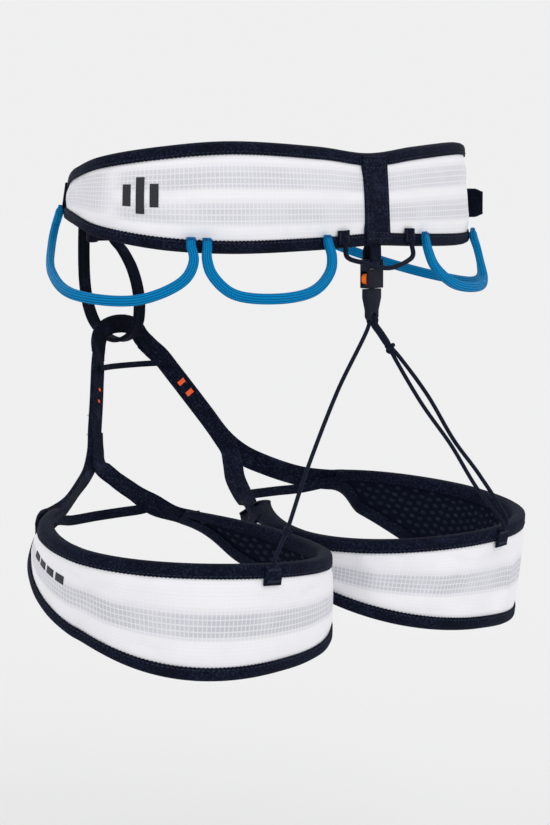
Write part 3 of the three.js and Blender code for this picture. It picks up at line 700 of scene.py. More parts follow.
def simulated(points, faces, pinned):
    """Inflates a closed cloth body between its pinned edges, and returns where it settles."""
    mesh = bpy.data.meshes.new("inflating")
    mesh.from_pydata((points * MM).tolist(), [], faces)
    body = bpy.data.objects.new("inflating", mesh)
    bpy.context.scene.collection.objects.link(body)
    group = body.vertex_groups.new(name="pinned")
    group.add([int(i) for i in np.nonzero(pinned)[0]], 1.0, "ADD")
    cloth = body.modifiers.new("cloth", "CLOTH")
    settings = cloth.settings
    settings.vertex_group_mass = "pinned"
    settings.quality = 4
    settings.mass = 0.15
    settings.tension_stiffness = 12
    settings.compression_stiffness = 12
    settings.shear_stiffness = 4
    settings.bending_stiffness = 0.05
    settings.shrink_min = -0.03
    settings.use_pressure = True
    settings.uniform_pressure_force = 5.0
    settings.effector_weights.gravity = 0
    cloth.collision_settings.use_collision = False
    cloth.collision_settings.use_self_collision = False
    cloth.point_cache.frame_start = 1
    cloth.point_cache.frame_end = SIM_FRAMES
    scene = bpy.context.scene
    for step in range(1, SIM_FRAMES + 1):
        scene.frame_set(step)
    depsgraph = bpy.context.evaluated_depsgraph_get()
    settled = body.evaluated_get(depsgraph).to_mesh()
    found = np.empty(len(points) * 3)
    settled.vertices.foreach_get("co", found)
    bpy.data.objects.remove(body)
    scene.frame_set(1)
    return found.reshape(-1, 3) / MM


class Pad:
    """A padded band: its inflated body, and points on its finished surface."""

    def __init__(self, name, band, start, end, count, body, nodes, tape, thin):
        places = evened(lambda t: band(t)[0], count, start, end)
        rows, height, levels = band_rows(band, places)
        self.places, self.band, self.height = places, band, height
        columns = rows.shape[1]
        along = distances((band(places)[0] + band(places)[1]) / 2)
        along -= along[-1] / 2
        mean = height.mean()
        up = levels * mean
        around = np.concatenate([up, mean + 6 + (mean - up[::-1]), [2 * mean + 12]])
        faces, cloth = loft_faces(len(rows), columns, along, around)
        flat = rows.reshape(-1, 3)
        half = ACROSS + 1
        for row, turn in ((0, 1), (len(rows) - 1, -1)):
            for level in range(half - 1):
                here = row * columns
                quad = (here + level, here + columns - 1 - level,
                        here + columns - 2 - level, here + level + 1)
                faces.append(quad[::turn])
                cloth += [(along[row], up[level])] * 4
        rise = np.tile(np.concatenate([levels, levels[::-1]]), len(rows))
        tall = np.repeat(height, columns)
        from_edge = np.minimum(rise, 1 - rise) * tall
        row_of = np.repeat(np.arange(len(rows)), columns)
        pinned = (from_edge < tape - 1.0) | (row_of < 2) | (row_of > len(rows) - 3)
        outer = np.tile(np.arange(columns) < half, len(rows))
        out = np.repeat(band(places)[2], columns, axis=0)
        loose = smooth(from_edge, tape - 2.0, tape + 5.0) * smooth(
            np.minimum(row_of, len(rows) - 1 - row_of).astype(float), 1, 6)
        crown = np.sin(np.pi * np.clip((rise * tall - tape) / np.maximum(tall - 2 * tape, 1), 0, 1))
        swell = np.where(outer, PUFF_OUT, -PUFF_IN) * crown ** 0.7
        moved = simulated(flat, faces, pinned) - flat
        limit = np.where(outer, PUFF_OUT, PUFF_IN) * 1.25
        size = np.linalg.norm(moved, axis=1)
        moved *= (limit * np.tanh(size / limit) / np.maximum(size, 1e-9))[:, None]
        moved = moved * (0.75 * loose)[:, None] + out * (0.3 * swell * loose)[:, None]
        points = flat + moved
        made = make_object(name, points, faces, "ripstop", None, cloth, 60.0)
        mesh = made.data
        mesh.materials.append(LOOKS["lining"])
        order = np.arange(len(faces))
        lining = (order % columns >= half - 1) & (order < (len(rows) - 1) * columns)
        index = np.where(lining, 1, 0)
        mesh.polygons.foreach_set("material_index", index.astype(np.int32))
        shade = mesh.attributes.new("thin", "FLOAT", "POINT")
        shade.data.foreach_set("value", thin(rise, np.repeat(places, columns)).astype(np.float32))
        subdivision = made.modifiers.new("rounding", "SUBSURF")
        subdivision.levels = subdivision.render_levels = 1
        with bpy.context.temp_override(object=made, active_object=made):
            bpy.ops.object.modifier_apply(modifier="rounding")
        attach(made, body)
        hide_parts(*nodes)
        self.grid = points.reshape(len(rows), columns, 3)
        self.columns, self.half, self.along = columns, half, along

    def at(self, place, rise, inside=False):
        """A point of the finished surface and the way it faces."""
        row = np.interp(place, self.places, np.arange(len(self.places)))
        column = rise * ACROSS
        if inside:
            column = self.columns - 1 - column

        def sample(r, c):
            r = min(max(r, 0), len(self.places) - 1.001)
            c = min(max(c, 0), self.columns - 1.001)
            i, j = int(r), int(c)
            a, b = r - i, c - j
            g = self.grid
            return ((1 - a) * (1 - b) * g[i, j] + (1 - a) * b * g[i, j + 1]
                    + a * (1 - b) * g[i + 1, j] + a * b * g[i + 1, j + 1])

        point = sample(row, column)
        along = unit(sample(row + 0.5, column) - sample(row - 0.5, column))
        up = unit(sample(row, column + 0.5) - sample(row, column - 0.5)) * (-1 if inside else 1)
        face = unit(np.cross(up, along)) if not inside else unit(np.cross(along, up))
        out = self.band(place)[2][0] * (-1 if inside else 1)
        return point, along, up, face if face.dot(out) > 0 else -face


# Spacing along and up, then half length, half width and half height of a grip dot.
DOT_PITCH = (6.2, 5.0)
DOT_SIZE = (2.1, 1.35, 0.45)


def lining_dots(name, pad, tape, body):
    """Raised grip dots in staggered rows on a pad's inside."""
    found = []
    count = int((pad.along[-1] - pad.along[0]) / DOT_PITCH[0])
    spots = np.interp(np.linspace(pad.along[0], pad.along[-1], count), pad.along, pad.places)
    for index, place in enumerate(spots[2:-2]):
        tall = np.interp(place, pad.places, pad.height)
        rows = int((tall - 2 * tape - 4) / DOT_PITCH[1])
        for row in range(rows + 1 - index % 2):
            rise = (tall / 2 + (row - (rows - index % 2) / 2) * DOT_PITCH[1]) / tall
            point, along, up, face = pad.at(place, rise, True)
            found.append((point, along, face, *DOT_SIZE))
    return beads(name, found, "dots", body)


BINDING_STEP = 0.62
SCALLOP_DEPTH = 0.24
SCALLOP_PITCH = 2.48


def binding(name, band, start, end, edge, height, body, node):
    """Folded tape over an edge: rolled crest, a stitched groove, and a scalloped free edge."""
    outer, inner = 0.35, -PADDING - 0.35
    thick = 1.0
    length = distances(band_point(band, np.linspace(start, end, 400), edge, 0, 0))[-1]
    steps = int(length / BINDING_STEP)
    at = lambda t: band_point(band, start + (end - start) * np.asarray(t), edge, 0, 0)
    fractions = evened(at, steps)
    places = start + (end - start) * fractions
    along = distances(at(fractions))
    scallop = SCALLOP_DEPTH * np.sin(2 * np.pi * along / SCALLOP_PITCH)
    wobble = 0.18 * np.sin(along / 9.0) + 0.12 * np.sin(along / 3.7 + 1.3)
    middle = (outer + inner) / 2
    half = (outer - inner) / 2 + thick
    # (inset from the edge, depth) from the outer free edge, over the crest, to the inner one
    skin = [(height, outer + 0.15), (height, outer + thick * 0.9), (height - 1.0, outer + thick),
            (height - 1.6, outer + thick - 0.22), (height - 2.2, outer + thick + 0.02),
            (height * 0.45, outer + thick + 0.12), (1.2, outer + thick - 0.02)]
    crest = [(1.2 - 2.5 * math.sin(a), middle + half * math.cos(a))
             for a in np.radians((28, 58, 90, 122, 152))]
    back = [(inset, inner - (depth - outer)) for inset, depth in reversed(skin)]
    core = [(height, inner), (1.0, inner + 0.1), (-0.35, middle), (1.0, outer - 0.1)]
    section = np.array(skin + crest + back + core)
    rows = []
    free = section[:, 0] > height - 0.5
    for place, shift, ripple in zip(places, scallop, wobble):
        insets = section[:, 0] + np.where(free, shift, 0)
        depths = section[:, 1] + np.where(section[:, 1] > outer, ripple * 0.5, 0)
        rows.append(np.stack([insets, depths], 1))
    top, bottom, out = band(places)
    up = unit(top - bottom)
    start_at, way = (top, -1) if edge == "top" else (bottom, 1)
    rows = np.array(rows)
    points = (start_at[:, None] + up[:, None] * (way * rows[:, :, :1]) + out[:, None] * rows[:, :, 1:])
    made = loft(name, points, "tape", body, sharp=55.0)
    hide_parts(node)


# ------------------------------------------------------------------ belt
TAPE = 6.5
# The belt has more cloth behind its stripes than the leg loops have.
BELT_THINNESS = 0.77


def belt_thin(rise, place):
    """Where the belt's cloth has no webbing behind it: two stripes that meet at the front."""
    drop = 1 - rise
    soft = 0.03
    stripe = lambda a, b: smooth(drop, a - soft, a + soft) * (1 - smooth(drop, b - soft, b + soft))
    where = np.abs(place)
    upper, lower = stripe(0.21, 0.42), stripe(0.55, 0.75)
    merged = stripe(0.18, 0.68) * smooth(where, 0.225, 0.255)
    apart = np.maximum(upper, lower) * (1 - smooth(where, 0.215, 0.245))
    return BELT_THINNESS * np.maximum(apart, merged)


def leg_thin(rise, place):
    drop = 1 - rise
    return smooth(drop, 0.37, 0.43) * (1 - smooth(drop, 0.60, 0.66))


belt_pad = Pad("belt_padding", belt, -BELT_END, BELT_END, 232, "belt", ("belt_shell", "belt_lining"), TAPE,
               belt_thin)
for band_edge in ("top", "bottom"):
    binding(f"belt_binding_{band_edge}", belt, -BELT_END, BELT_END, band_edge, TAPE, "belt",
            f"belt_{band_edge}_tape")
lining_dots("belt_grip_dots", belt_pad, TAPE, "belt")

TAPE_FACE = 1.35
OVER_TAPE = 1.7
belt_stitches = []
for band_edge in ("top", "bottom"):
    belt_stitches += seam(belt, -BELT_END, BELT_END, band_edge, TAPE - 1.6, TAPE_FACE)
beads("belt_binding_stitches", belt_stitches, "thread", "belt")


def end_binding(name, band, place, way, body):
    """Tape folded round one end of a padded band, from its bottom to its top edge."""
    wrap = 7.0
    top, bottom, out = (item[0] for item in band(place))
    level = unit(np.cross(out, (0, 0, 1.0)))
    near = band(place - way * 1e-3)
    toward = top - near[0][0]
    level = level if level.dot(toward) > 0 else -level
    outer, inner, thick = 0.4, -PADDING - 0.4, 1.25
    middle, half = (outer + inner) / 2, (outer - inner) / 2 + thick
    section = [(-wrap, outer + 0.2), (-wrap, outer + thick), (-wrap + 1.2, outer + thick * 1.05),
               (-1, outer + thick)]
    section += [(-0.5 + 3.0 * math.sin(a), middle + half * math.cos(a))
                for a in np.radians((35, 65, 90, 115, 145))]
    section += [(-1, inner - thick), (-wrap + 1.2, inner - thick * 1.05), (-wrap, inner - thick),
                (-wrap, inner - 0.2), (-1.0, inner), (0.6, middle), (-1.0, outer)]
    rows = []
    for rise in np.linspace(-0.01, 1.01, 26):
        squeeze = 1 - 0.55 * max(0, abs(rise - 0.5) * 2 - 0.93) / 0.09
        at = bottom + (top - bottom) * rise
        rows.append([at + level * s * min(1, squeeze + 0.3) + out * (middle + (d - middle) * squeeze)
                     for s, d in section])
    return loft(name, np.array(rows), "tape", body, sharp=55.0)


for side_name, side in SIDES:
    end_binding(f"belt_end_{side_name}", belt, side * BELT_END, side, "belt")

# ------------------------------------------------------------------ back webbing and riser
RISER_DEPTH = 80.5
PATCH_REACH = 0.0155


def band_strip(name, band, places, low, high, depth, thickness, look, body, levels=9, bulge=0.0):
    """A flat piece sewn onto a band, between insets from the bottom edge given per place."""
    places = np.asarray(places, float)
    rows = []
    top, bottom, out = band(places)
    up = unit(top - bottom)
    low = np.broadcast_to(low, places.shape)
    high = np.broadcast_to(high, places.shape)
    across = np.linspace(0, 1, levels)
    for i in range(len(places)):
        inset = low[i] + (high[i] - low[i]) * across
        lift = bulge * np.sin(np.pi * across) + 0.18 * np.abs(2 * across - 1) ** 6
        outer = bottom[i] + up[i] * inset[:, None] + out[i] * (depth + thickness + lift)[:, None]
        side_high = bottom[i] + up[i] * (high[i] + 0.35) + out[i] * (depth + thickness / 2)
        inner = bottom[i] + up[i] * inset[::-1, None] + out[i] * depth
        side_low = bottom[i] + up[i] * (low[i] - 0.35) + out[i] * (depth + thickness / 2)
        rows.append(np.vstack([outer, side_high, inner, side_low]))
    return loft(name, np.array(rows), look, body)


back_places = np.linspace(-PATCH_REACH, PATCH_REACH, 13)
back_height = np.linalg.norm(belt(back_places)[0] - belt(back_places)[1], axis=1)
patch = band_strip("back_webbing", belt, back_places, 0.6, back_height - 1.0, 0.9, 1.9,
                   "strap", "belt", 15, 0.35)
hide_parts("back_patch")
patch_stitches = []
for sideways in (-0.82, 0.82):
    for rise in np.arange(3.0, 52.0, 2.6):
        point = band_point(belt, sideways * PATCH_REACH, "bottom", rise, 2.95)[0]
        patch_stitches.append((point, np.array((0, 0, 1.0)), np.array((0, 1.0, 0)), 1.0, 0.25, 0.3))
for rise in (3.2, 6.8, 46.5, 50.5):
    for sideways in np.linspace(-0.72, 0.72, 6):
        point = band_point(belt, sideways * PATCH_REACH, "bottom", rise, 3.05)[0]
        patch_stitches.append((point, np.array((1.0, 0, 0)), np.array((0, 1.0, 0)), 1.0, 0.25, 0.3))
beads("back_webbing_stitches", patch_stitches, "thread", "belt")

strap_path = [(0, 82.9, -24.5), (0, 83.4, -30), (0, 83.3, -37), (0, 81.9, -41), (0, 80.5, -41.9),
              (0, 79.1, -41), (0, 77.7, -37), (0, 77.8, -31), (0, 79.2, -27.6)]
strap_out = [(0, 1, 0.0), (0, 1, 0), (0, 1, -0.2), (0, 0.5, -1), (0, 0, -1), (0, -0.5, -1), (0, -1, -0.2),
             (0, -1, 0), (0, -1, 0.3)]
riser_strap = swept("riser_strap_webbing", strap_path, strap_out, flat_section(10, 1.3, 0.1, 0.05),
                    "strap", "belt", 56)
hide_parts("riser_strap")


# Edges sharper than this, in degrees, are rounded; shading breaks where a face turns more.
ROUNDED_ANGLE = 24
SHADING_ANGLE = 38


def moulded(name, node, look, body, bevel):
    """A detailed copy of a hard CAD solid, with rounded edges."""
    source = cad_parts[node]
    mesh = source.data.copy()
    mesh.name = name
    bm = bmesh.new()
    bm.from_mesh(mesh)
    bmesh.ops.remove_doubles(bm, verts=bm.verts, dist=1e-6)
    bmesh.ops.dissolve_limit(bm, angle_limit=math.radians(1), verts=bm.verts, edges=bm.edges)
    sharp = [e for e in bm.edges
             if len(e.link_faces) == 2 and e.calc_face_angle(0) > math.radians(ROUNDED_ANGLE)]
    bmesh.ops.bevel(bm, geom=sharp, offset=bevel * MM, segments=3, profile=0.5, affect="EDGES",
                    clamp_overlap=True)
    bmesh.ops.triangulate(bm, faces=[f for f in bm.faces if len(f.verts) > 4])
    bmesh.ops.recalc_face_normals(bm, faces=bm.faces)
    bm.to_mesh(mesh)
    bm.free()
    mesh.materials.clear()
    mesh.materials.append(LOOKS[look])
    mesh.polygons.foreach_set("use_smooth", [True] * len(mesh.polygons))
    mesh.set_sharp_from_angle(angle=math.radians(SHADING_ANGLE))
    made = bpy.data.objects.new(name, mesh)
    bpy.context.scene.collection.objects.link(made)
    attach(made, body)
    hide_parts(node)
    return made


moulded("side_release_socket", "riser_buckle_socket", "plastic", "belt", 0.7)
moulded("side_release_plug", "riser_buckle_plug", "plastic", "belt", 0.6)
for side_name, side in SIDES:
    moulded(f"side_release_prong_{side_name}", f"riser_prong_{side_name}", "orange",
            f"riser_prong_{side_name}", 0.55)
moulded("two_plate_frame", "waist_buckle_frame", "alloy", "belt", 0.8)
moulded("two_plate_slider", "waist_buckle_slider", "alloy", "waist_buckle_slider", 0.6)

# Elastic cords from the plug's eye to the leg loops.
PLUG_BOTTOM = -74.5
CORD = 2.6
eye = np.array((0.0, RISER_DEPTH, PLUG_BOTTOM - 0.6))


# Where the knots sit, as fractions of the way from the plug to the leg loop.
LEFT_KNOT = 0.883
RIGHT_KNOT = 0.118
# Where round each leg loop its riser is sewn.
RISER_PLACE = {"left": math.radians(11.5), "right": math.radians(3.5)}


def leg_hook(name, side):
    return band_point(leg_band(side), RISER_PLACE[name], "top", -3.4, OVER_TAPE + 1)[0]


left_hook, right_hook = (leg_hook(*pair) for pair in SIDES)
left_start = eye + (2.4, 0, -1)
right_start = eye + (-2.4, 0, -1)


def knot_path(at, way, size):
    """A small overhand knot round the given direction."""
    way = unit(np.asarray(way, float))
    side = unit(np.cross(way, (0.3, 1.0, 0.1)))
    other = np.cross(way, side)
    t = np.linspace(0, 2 * math.pi, 26, endpoint=False)
    a = np.sin(t) + 1.5 * np.sin(2 * t)
    b = np.cos(t) - 1.5 * np.cos(2 * t)
    c = -np.sin(3 * t)
    return [np.asarray(at) + size * (0.30 * x * way + 0.30 * y * side + 0.42 * z * other)
            for x, y, z in zip(a, b, c)]


cord_section = round_section(CORD / 2, 12)
straight = unit(left_hook - left_start)


def on_left(fraction):
    """A point of the straight line that the left cord follows."""
    return left_start + fraction * (left_hook - left_start)


left_cord = tube("riser_cord_left", [
    eye + (1.2, -1.2, 3.6), eye + (1.6, -1.3, 1.2), left_start, on_left(0.3) + (1.9, -2.0, 0.4),
    on_left(0.65) + (1.5, -1.6, 0.3), on_left(LEFT_KNOT), left_hook + (0, 0, 0.8), left_hook - (0, 0.4, 3.2)],
    cord_section, "cord", None, 220)
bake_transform(left_cord)
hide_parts("riser_cord_left", "riser_cord_left_end")
left_knot = tube("riser_cord_knot_left", knot_path(on_left(LEFT_KNOT), straight, 2.6),
                 round_section(1.25, 10), "cord", "leg_loop_left", 130, closed=True)
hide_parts("riser_knot_left")

way = unit(right_hook - right_start)
span = np.linalg.norm(right_hook - right_start)
sleeve = tube("riser_cord_sleeve", [eye + (-1.0, 1.2, 4.0), eye + (-1.7, 1.5, 1.0), right_start,
              right_start + way * 0.05 * span, right_start + way * 0.112 * span],
              round_section(2.35, 14), "cord", "belt", 50,
              scale=lambda f: 0.78 + 0.22 * min(1, 4 * f, 6 * (1 - f)))
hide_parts("riser_sleeve_right")
right_knot = tube("riser_cord_knot_right", knot_path(right_start + way * RIGHT_KNOT * span, way, 3.3),
                  round_section(1.45, 10), "cord", "belt", 150, closed=True)
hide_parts("riser_knot_right")
# Each strand's offset from the middle line, and how far it bows.
STRANDS = {"inner": ((1.6, 0.6, -1.6), (0.7, 0, -1.2)), "outer": ((-1.6, 0.6, 1.6), (-0.9, 0, 1.4))}
for strand, (offset, bow) in STRANDS.items():
    offset, bow = np.array(offset), np.array(bow)
    begin = right_start + way * RIGHT_KNOT * span
    made = tube(f"riser_cord_right_{strand}", [
        begin + 0.3 * offset, begin + way * 0.05 * span + offset * 0.8,
        begin + way * 0.25 * span + offset + bow,
        begin + way * 0.47 * span + offset * 0.7 + bow * 0.3, begin + way * 0.66 * span + offset * 1.0 + bow,
        right_hook + offset * 0.9 + (0, 0, 0.6), right_hook + offset * 0.8 - (0, 0.4, 3.0)],
        cord_section, "cord", None, 200)
    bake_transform(made)
    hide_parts(f"riser_cord_right_{strand}")

# ------------------------------------------------------------------ haul loop
HAUL_TAB = 0.043
TAB_ROWS = 11


def haul_end(side, inset, out):
    return band_point(belt, side * HAUL_TAB, "bottom", inset, OVER_TAPE + 1.5 + out)[0]


HAUL_END_SPOTS = ((5.5, -0.3), (0.5, 0), (-6, 1))
haul_left, haul_right = ([haul_end(side, *spot) for spot in HAUL_END_SPOTS] for side in (1, -1))
haul_path = [*haul_left, (20, 92, -38), (0, 94, -41.5), (-20, 92, -38), *haul_right[::-1]]
haul = tube("haul_loop_cord", haul_path, round_section(1.5, 12), "cord", "haul_loop", 150)
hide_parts("haul_loop")
haul_stitches = []
for side_name, side in SIDES:
    places = side * HAUL_TAB + np.linspace(-0.0062, 0.0062, TAB_ROWS)
    tab = band_strip(f"haul_loop_tab_{side_name}", belt, places, 1.6, 9.6, OVER_TAPE + 0.1, 1.0, "tape",
                     "belt", 9, 0.0)
    # The tab's middle rows are lifted over the cord; its last two points close its ends.
    hump = 2.3 * np.exp(-((np.linspace(-1, 1, TAB_ROWS) / 0.42) ** 2))
    size = len(tab.data.vertices) - 2
    out = belt(places)[2] * MM
    for index in range(size):
        row = index // (size // TAB_ROWS)
        tab.data.vertices[index].co += Vector(out[row] * hump[row])
    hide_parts(f"haul_tab_{side_name}")
    for shift in (-0.0048, 0.0048):
        point = band_point(belt, side * HAUL_TAB + shift, "bottom", 5.6, OVER_TAPE + 1.2)[0]
        haul_stitches += bartack(point, (0, 0, 1), belt(side * HAUL_TAB)[2][0], 6.0, 1.7, 8)
beads("haul_tab_stitches", haul_stitches, "thread", "belt")

# ------------------------------------------------------------------ gear loops
# Each loop's name, the places round the belt where its ends are sewn, and its sag.
GEAR_LOOPS = (("rear", (0.062, 0.147), 0.88), ("front", (0.1605, 0.352), 1.12))
GEAR_CORD = 6.6
# One loop from end to end: how far along, how far down and how far out.
LOOP_RUN = (0, 0, -0.01, 0.03, 0.2, 0.5, 0.8, 0.97, 1.01, 1, 1)
LOOP_DROP = (-8.0, -3.5, 5, 15, 27, 31, 27, 15, 5, -3.5, -8.0)
LOOP_BULGE = (-1.9, -1.2, 1.5, 4, 8, 10, 8, 4, 1.5, -1.2, -1.9)


def gear_section():
    """A flattened braid with ribs along both of its faces."""
    angles = np.linspace(0, 2 * math.pi, 44, endpoint=False)
    wide, deep = GEAR_CORD / 2 - 0.1, 2.3
    found = []
    for angle in angles:
        c, s = math.cos(angle), math.sin(angle)
        x = wide * math.copysign(abs(c) ** 0.75, c)
        y = deep * math.copysign(abs(s) ** 0.62, s)
        rib = 0.24 * math.cos(2 * math.pi * x / 1.6) * abs(s) ** 0.5
        found.append((x, y + math.copysign(rib, s)))
    return np.array(found)


for side_name, side in SIDES:
    for loop_name, (begin, finish), sag in GEAR_LOOPS:
        points = []
        for run, drop, bulge in zip(LOOP_RUN, LOOP_DROP, LOOP_BULGE):
            place = side * (begin + (finish - begin) * run)
            point = band_point(belt, place, "bottom", 0, OVER_TAPE + GEAR_CORD / 2 + bulge)[0]
            points.append(point - (0, 0, drop * sag if drop > 0 else drop))
        outs = [belt(side * (begin + (finish - begin) * min(max(run, 0), 1)))[2][0] for run in LOOP_RUN]

        def pinch(f):
            near = min(f, 1 - f)
            return (0.82 + 0.18 * smooth(near, 0.05, 0.3), 0.45 + 0.55 * smooth(near, 0.015, 0.09))

        body = f"gear_loop_{loop_name}_{side_name}"
        made = swept(f"gear_loop_braid_{loop_name}_{side_name}", points, outs, gear_section(), "blue", body,
                     330, pinch, sharp=60.0)
        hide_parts(body)
        tacks = []
        for run in (0, 1):
            place = side * (begin + (finish - begin) * run)
            for inset in (2.2, 6.2):
                point = band_point(belt, place, "bottom", inset, OVER_TAPE + 3.35)[0]
                tacks += bartack(point, (0, 0, 1), belt(place)[2][0], 2.6, 7.2, 5)
        beads(f"gear_loop_tacks_{loop_name}_{side_name}", tacks, "blue_thread", body)

# ------------------------------------------------------------------ waist strap and buckle
WAIST_WIDTH = 19.0
WAIST_STRAP = 1.8
BUCKLE_AT = 0.565
BUCKLE_REACH = 0.0125
STRAP_START = 0.372
TAIL_END = 0.785
TAIL_DROP = 7.0


def strap_low(places):
    top, bottom, _ = belt(places)
    drop = TAIL_DROP * np.maximum(0, (places - 0.665) / (TAIL_END - 0.665))
    return (np.linalg.norm(top - bottom, axis=1) - WAIST_WIDTH) / 2 - drop


def waist_strip(name, start, end, depth, thickness, look, node, margin, steps):
    places = np.linspace(start, end, steps)
    low = strap_low(places)
    made = band_strip(name, belt, places, low - margin, low + WAIST_WIDTH + margin, depth, thickness, look,
                      "belt", 13, 0.1)
    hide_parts(node)


waist_strip("waist_webbing", STRAP_START, BUCKLE_AT - BUCKLE_REACH + 0.003, OVER_TAPE, WAIST_STRAP, "webbing",
            "waist_strap", 0.0, 110)
waist_strip("waist_webbing_tail", BUCKLE_AT + BUCKLE_REACH - 0.003, TAIL_END, OVER_TAPE, WAIST_STRAP,
            "webbing", "waist_strap_tail", 0.0, 110)
for end_name, place in (("front", 0.63), ("rear", 0.70)):
    waist_strip(f"waist_keeper_{end_name}", place - 0.006, place + 0.006, OVER_TAPE + WAIST_STRAP + 0.3, 1.0,
                "tape", f"tail_keeper_{end_name}", 1.0, 9)
tail_top, tail_bottom, tail_out = (item[0] for item in belt(TAIL_END))
tail_up = unit(tail_top - tail_bottom)
tail_low = strap_low(np.array([TAIL_END]))[0]
tail_middle = tail_bottom + tail_up * (tail_low + WAIST_WIDTH / 2) + tail_out * (OVER_TAPE + WAIST_STRAP)
tail_along = np.cross(tail_out, (0, 0, 1.0))
tail_start = tail_middle + tail_along * 1.2
tail_tip = tail_start + tail_along * 13 + tail_out * 13
fold_way = unit(tail_tip - tail_start)
fold_out = unit(tail_out - fold_way * tail_out.dot(fold_way))
layers = []
for layer, (shift, reach) in enumerate(((1.75, 0.96), (0.0, 1.0), (-1.75, 0.97))):
    path = [tail_start - fold_way * 1.5 + fold_out * shift * 0.5,
            tail_start + fold_way * 3 + fold_out * shift * 0.9,
            tail_start + fold_way * 10 + fold_out * shift,
            tail_start + (tail_tip - tail_start) * reach + fold_out * shift * 0.9]
    ends = lambda f, full=reach: (1 - 0.2 * smooth(f, 0.72, 1.0) ** 2, 1 - 0.3 * smooth(f, 0.9, 1.0))
    layers.append(swept(f"fold_layer_{layer}", path, [fold_out], flat_section(WAIST_WIDTH, 1.6, 0.1, 0.06),
                        "webbing", None, 28, ends))
fold = joined("waist_webbing_fold", layers, "belt")
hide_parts("waist_strap_fold")

# ------------------------------------------------------------------ tie-in, belay loop, arch
TIE_IN_BACK = -140 - 3.5 - 0.35
tie_half = [(25, TIE_IN_BACK - 0.9, -22), (20, TIE_IN_BACK - 2.0, -22), (16, TIE_IN_BACK - 5, -22),
            (11.5, -161.5, -22), (5.5, -165.2, -22)]
tie_path = [(-x, y, z) for x, y, z in tie_half] + [(0, -165.6, -22)] + tie_half[::-1]
tie_out_half = [(0.3, -1, 0), (0.4, -1, 0), (0.85, -0.6, 0), (0.7, -0.75, 0), (0.25, -1, 0)]
tie_out = [(-x, y, z) for x, y, z in tie_out_half] + [(0, -1, 0)] + tie_out_half[::-1]
tie_in = swept("tie_in_webbing", tie_path, tie_out, flat_section(18, 2.6, 0.2, 0.1, 13), "webbing", "belt",
               90)
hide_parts("tie_in_loop")

BELAY_OUTER = ((-168, -7.5), (-174, -9.5), (-178, -14), (-179, -20), (-179, -58), (-175, -76), (-168, -88),
               (-157, -96), (-145, -98.5), (-133, -95), (-125, -86), (-123, -74), (-124.5, -62), (-130, -48),
               (-139, -36), (-147, -29), (-150.2, -22), (-152, -14), (-158, -9))
belay_middle = []
for index, (y, z) in enumerate(BELAY_OUTER):
    before, after = BELAY_OUTER[index - 1], BELAY_OUTER[(index + 1) % len(BELAY_OUTER)]
    tangent = unit(np.array((after[0] - before[0], after[1] - before[1]), float))
    belay_middle.append((0.0, y - tangent[1] * 1.3, z + tangent[0] * 1.3))
belay_facing = []
for index in range(len(belay_middle)):
    before, after = belay_middle[index - 1], belay_middle[(index + 1) % len(belay_middle)]
    tangent = unit(np.array((after[1] - before[1], after[2] - before[2])))
    belay_facing.append((0, tangent[1], -tangent[0]))
belay_at, belay_way = curve(belay_middle, True), curve(belay_facing, True)
fractions = evened(belay_at, 181)[:-1]
centre = belay_at(fractions)
along = unit(np.roll(centre, -1, 0) - np.roll(centre, 1, 0))
out = belay_way(fractions)
out = unit(out - along * (out * along).sum(1, keepdims=True))
section = flat_section(10, 2.6, 0.25, 0.22, 11)
doubled = smooth(np.abs(fractions - 0.30), 0.0, 0.075)
thick = 1.0 + 0.30 * (1 - doubled)
rows = centre[:, None] + np.cross(along, out)[:, None] * section[None, :, :1] + out[:, None] * (
    section[None, :, 1:] * thick[:, None, None])
belay = loft("belay_loop_webbing", rows, "webbing", "belay_loop", True)
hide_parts("belay_loop")
belay_stitches = []
for fraction in (0.255, 0.30, 0.345):
    point = belay_at(fraction)[0] + belay_way(fraction)[0] * 1.75
    tangent = belay_at(fraction + 0.01)[0] - belay_at(fraction - 0.01)[0]
    belay_stitches += bartack(point, tangent, belay_way(fraction)[0], 5.0, 8.0, 9)
beads("belay_loop_stitches", belay_stitches, "thread", "belay_loop")

ARCH_DEPTH = -144
arch_half = [(26.5, -136.7, -106), (23.2, -140.2, -101.3), (19.6, -143.2, -95.9), (16.6, ARCH_DEPTH, -91.2),
             (12, ARCH_DEPTH, -88.1), (6, ARCH_DEPTH, -86.5)]
arch_path = arch_half + [(0, ARCH_DEPTH, -86.1)] + [(-x, y, z) for x, y, z in reversed(arch_half)]


def arch_scale(f):
    near = min(f, 1 - f)
    return 1.13 - 0.13 * smooth(near, 0.1, 0.4), 0.45 + 0.55 * smooth(near, 0.0, 0.12)


lower_arch = swept("lower_arch_webbing", arch_path, [(0, -1, 0)], flat_section(12.4, 3.0, 0.2, 0.15, 11),
                   "webbing", "belt", 110, arch_scale)
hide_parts("lower_tie_in_arch")

# ------------------------------------------------------------------ leg loops
FRONT_STRAP_TOP = ((21.4, -142.4, -98.6), (25, -138.2, -104), (29.5, -133.6, -110), (35, -128.5, -119.6))
FRONT_STRAP_BOTTOM = ((43, -121, -134), (52, -113, -150), (61, -105, -166))
STRAP_FACING = (0.05, -1, 0.1)
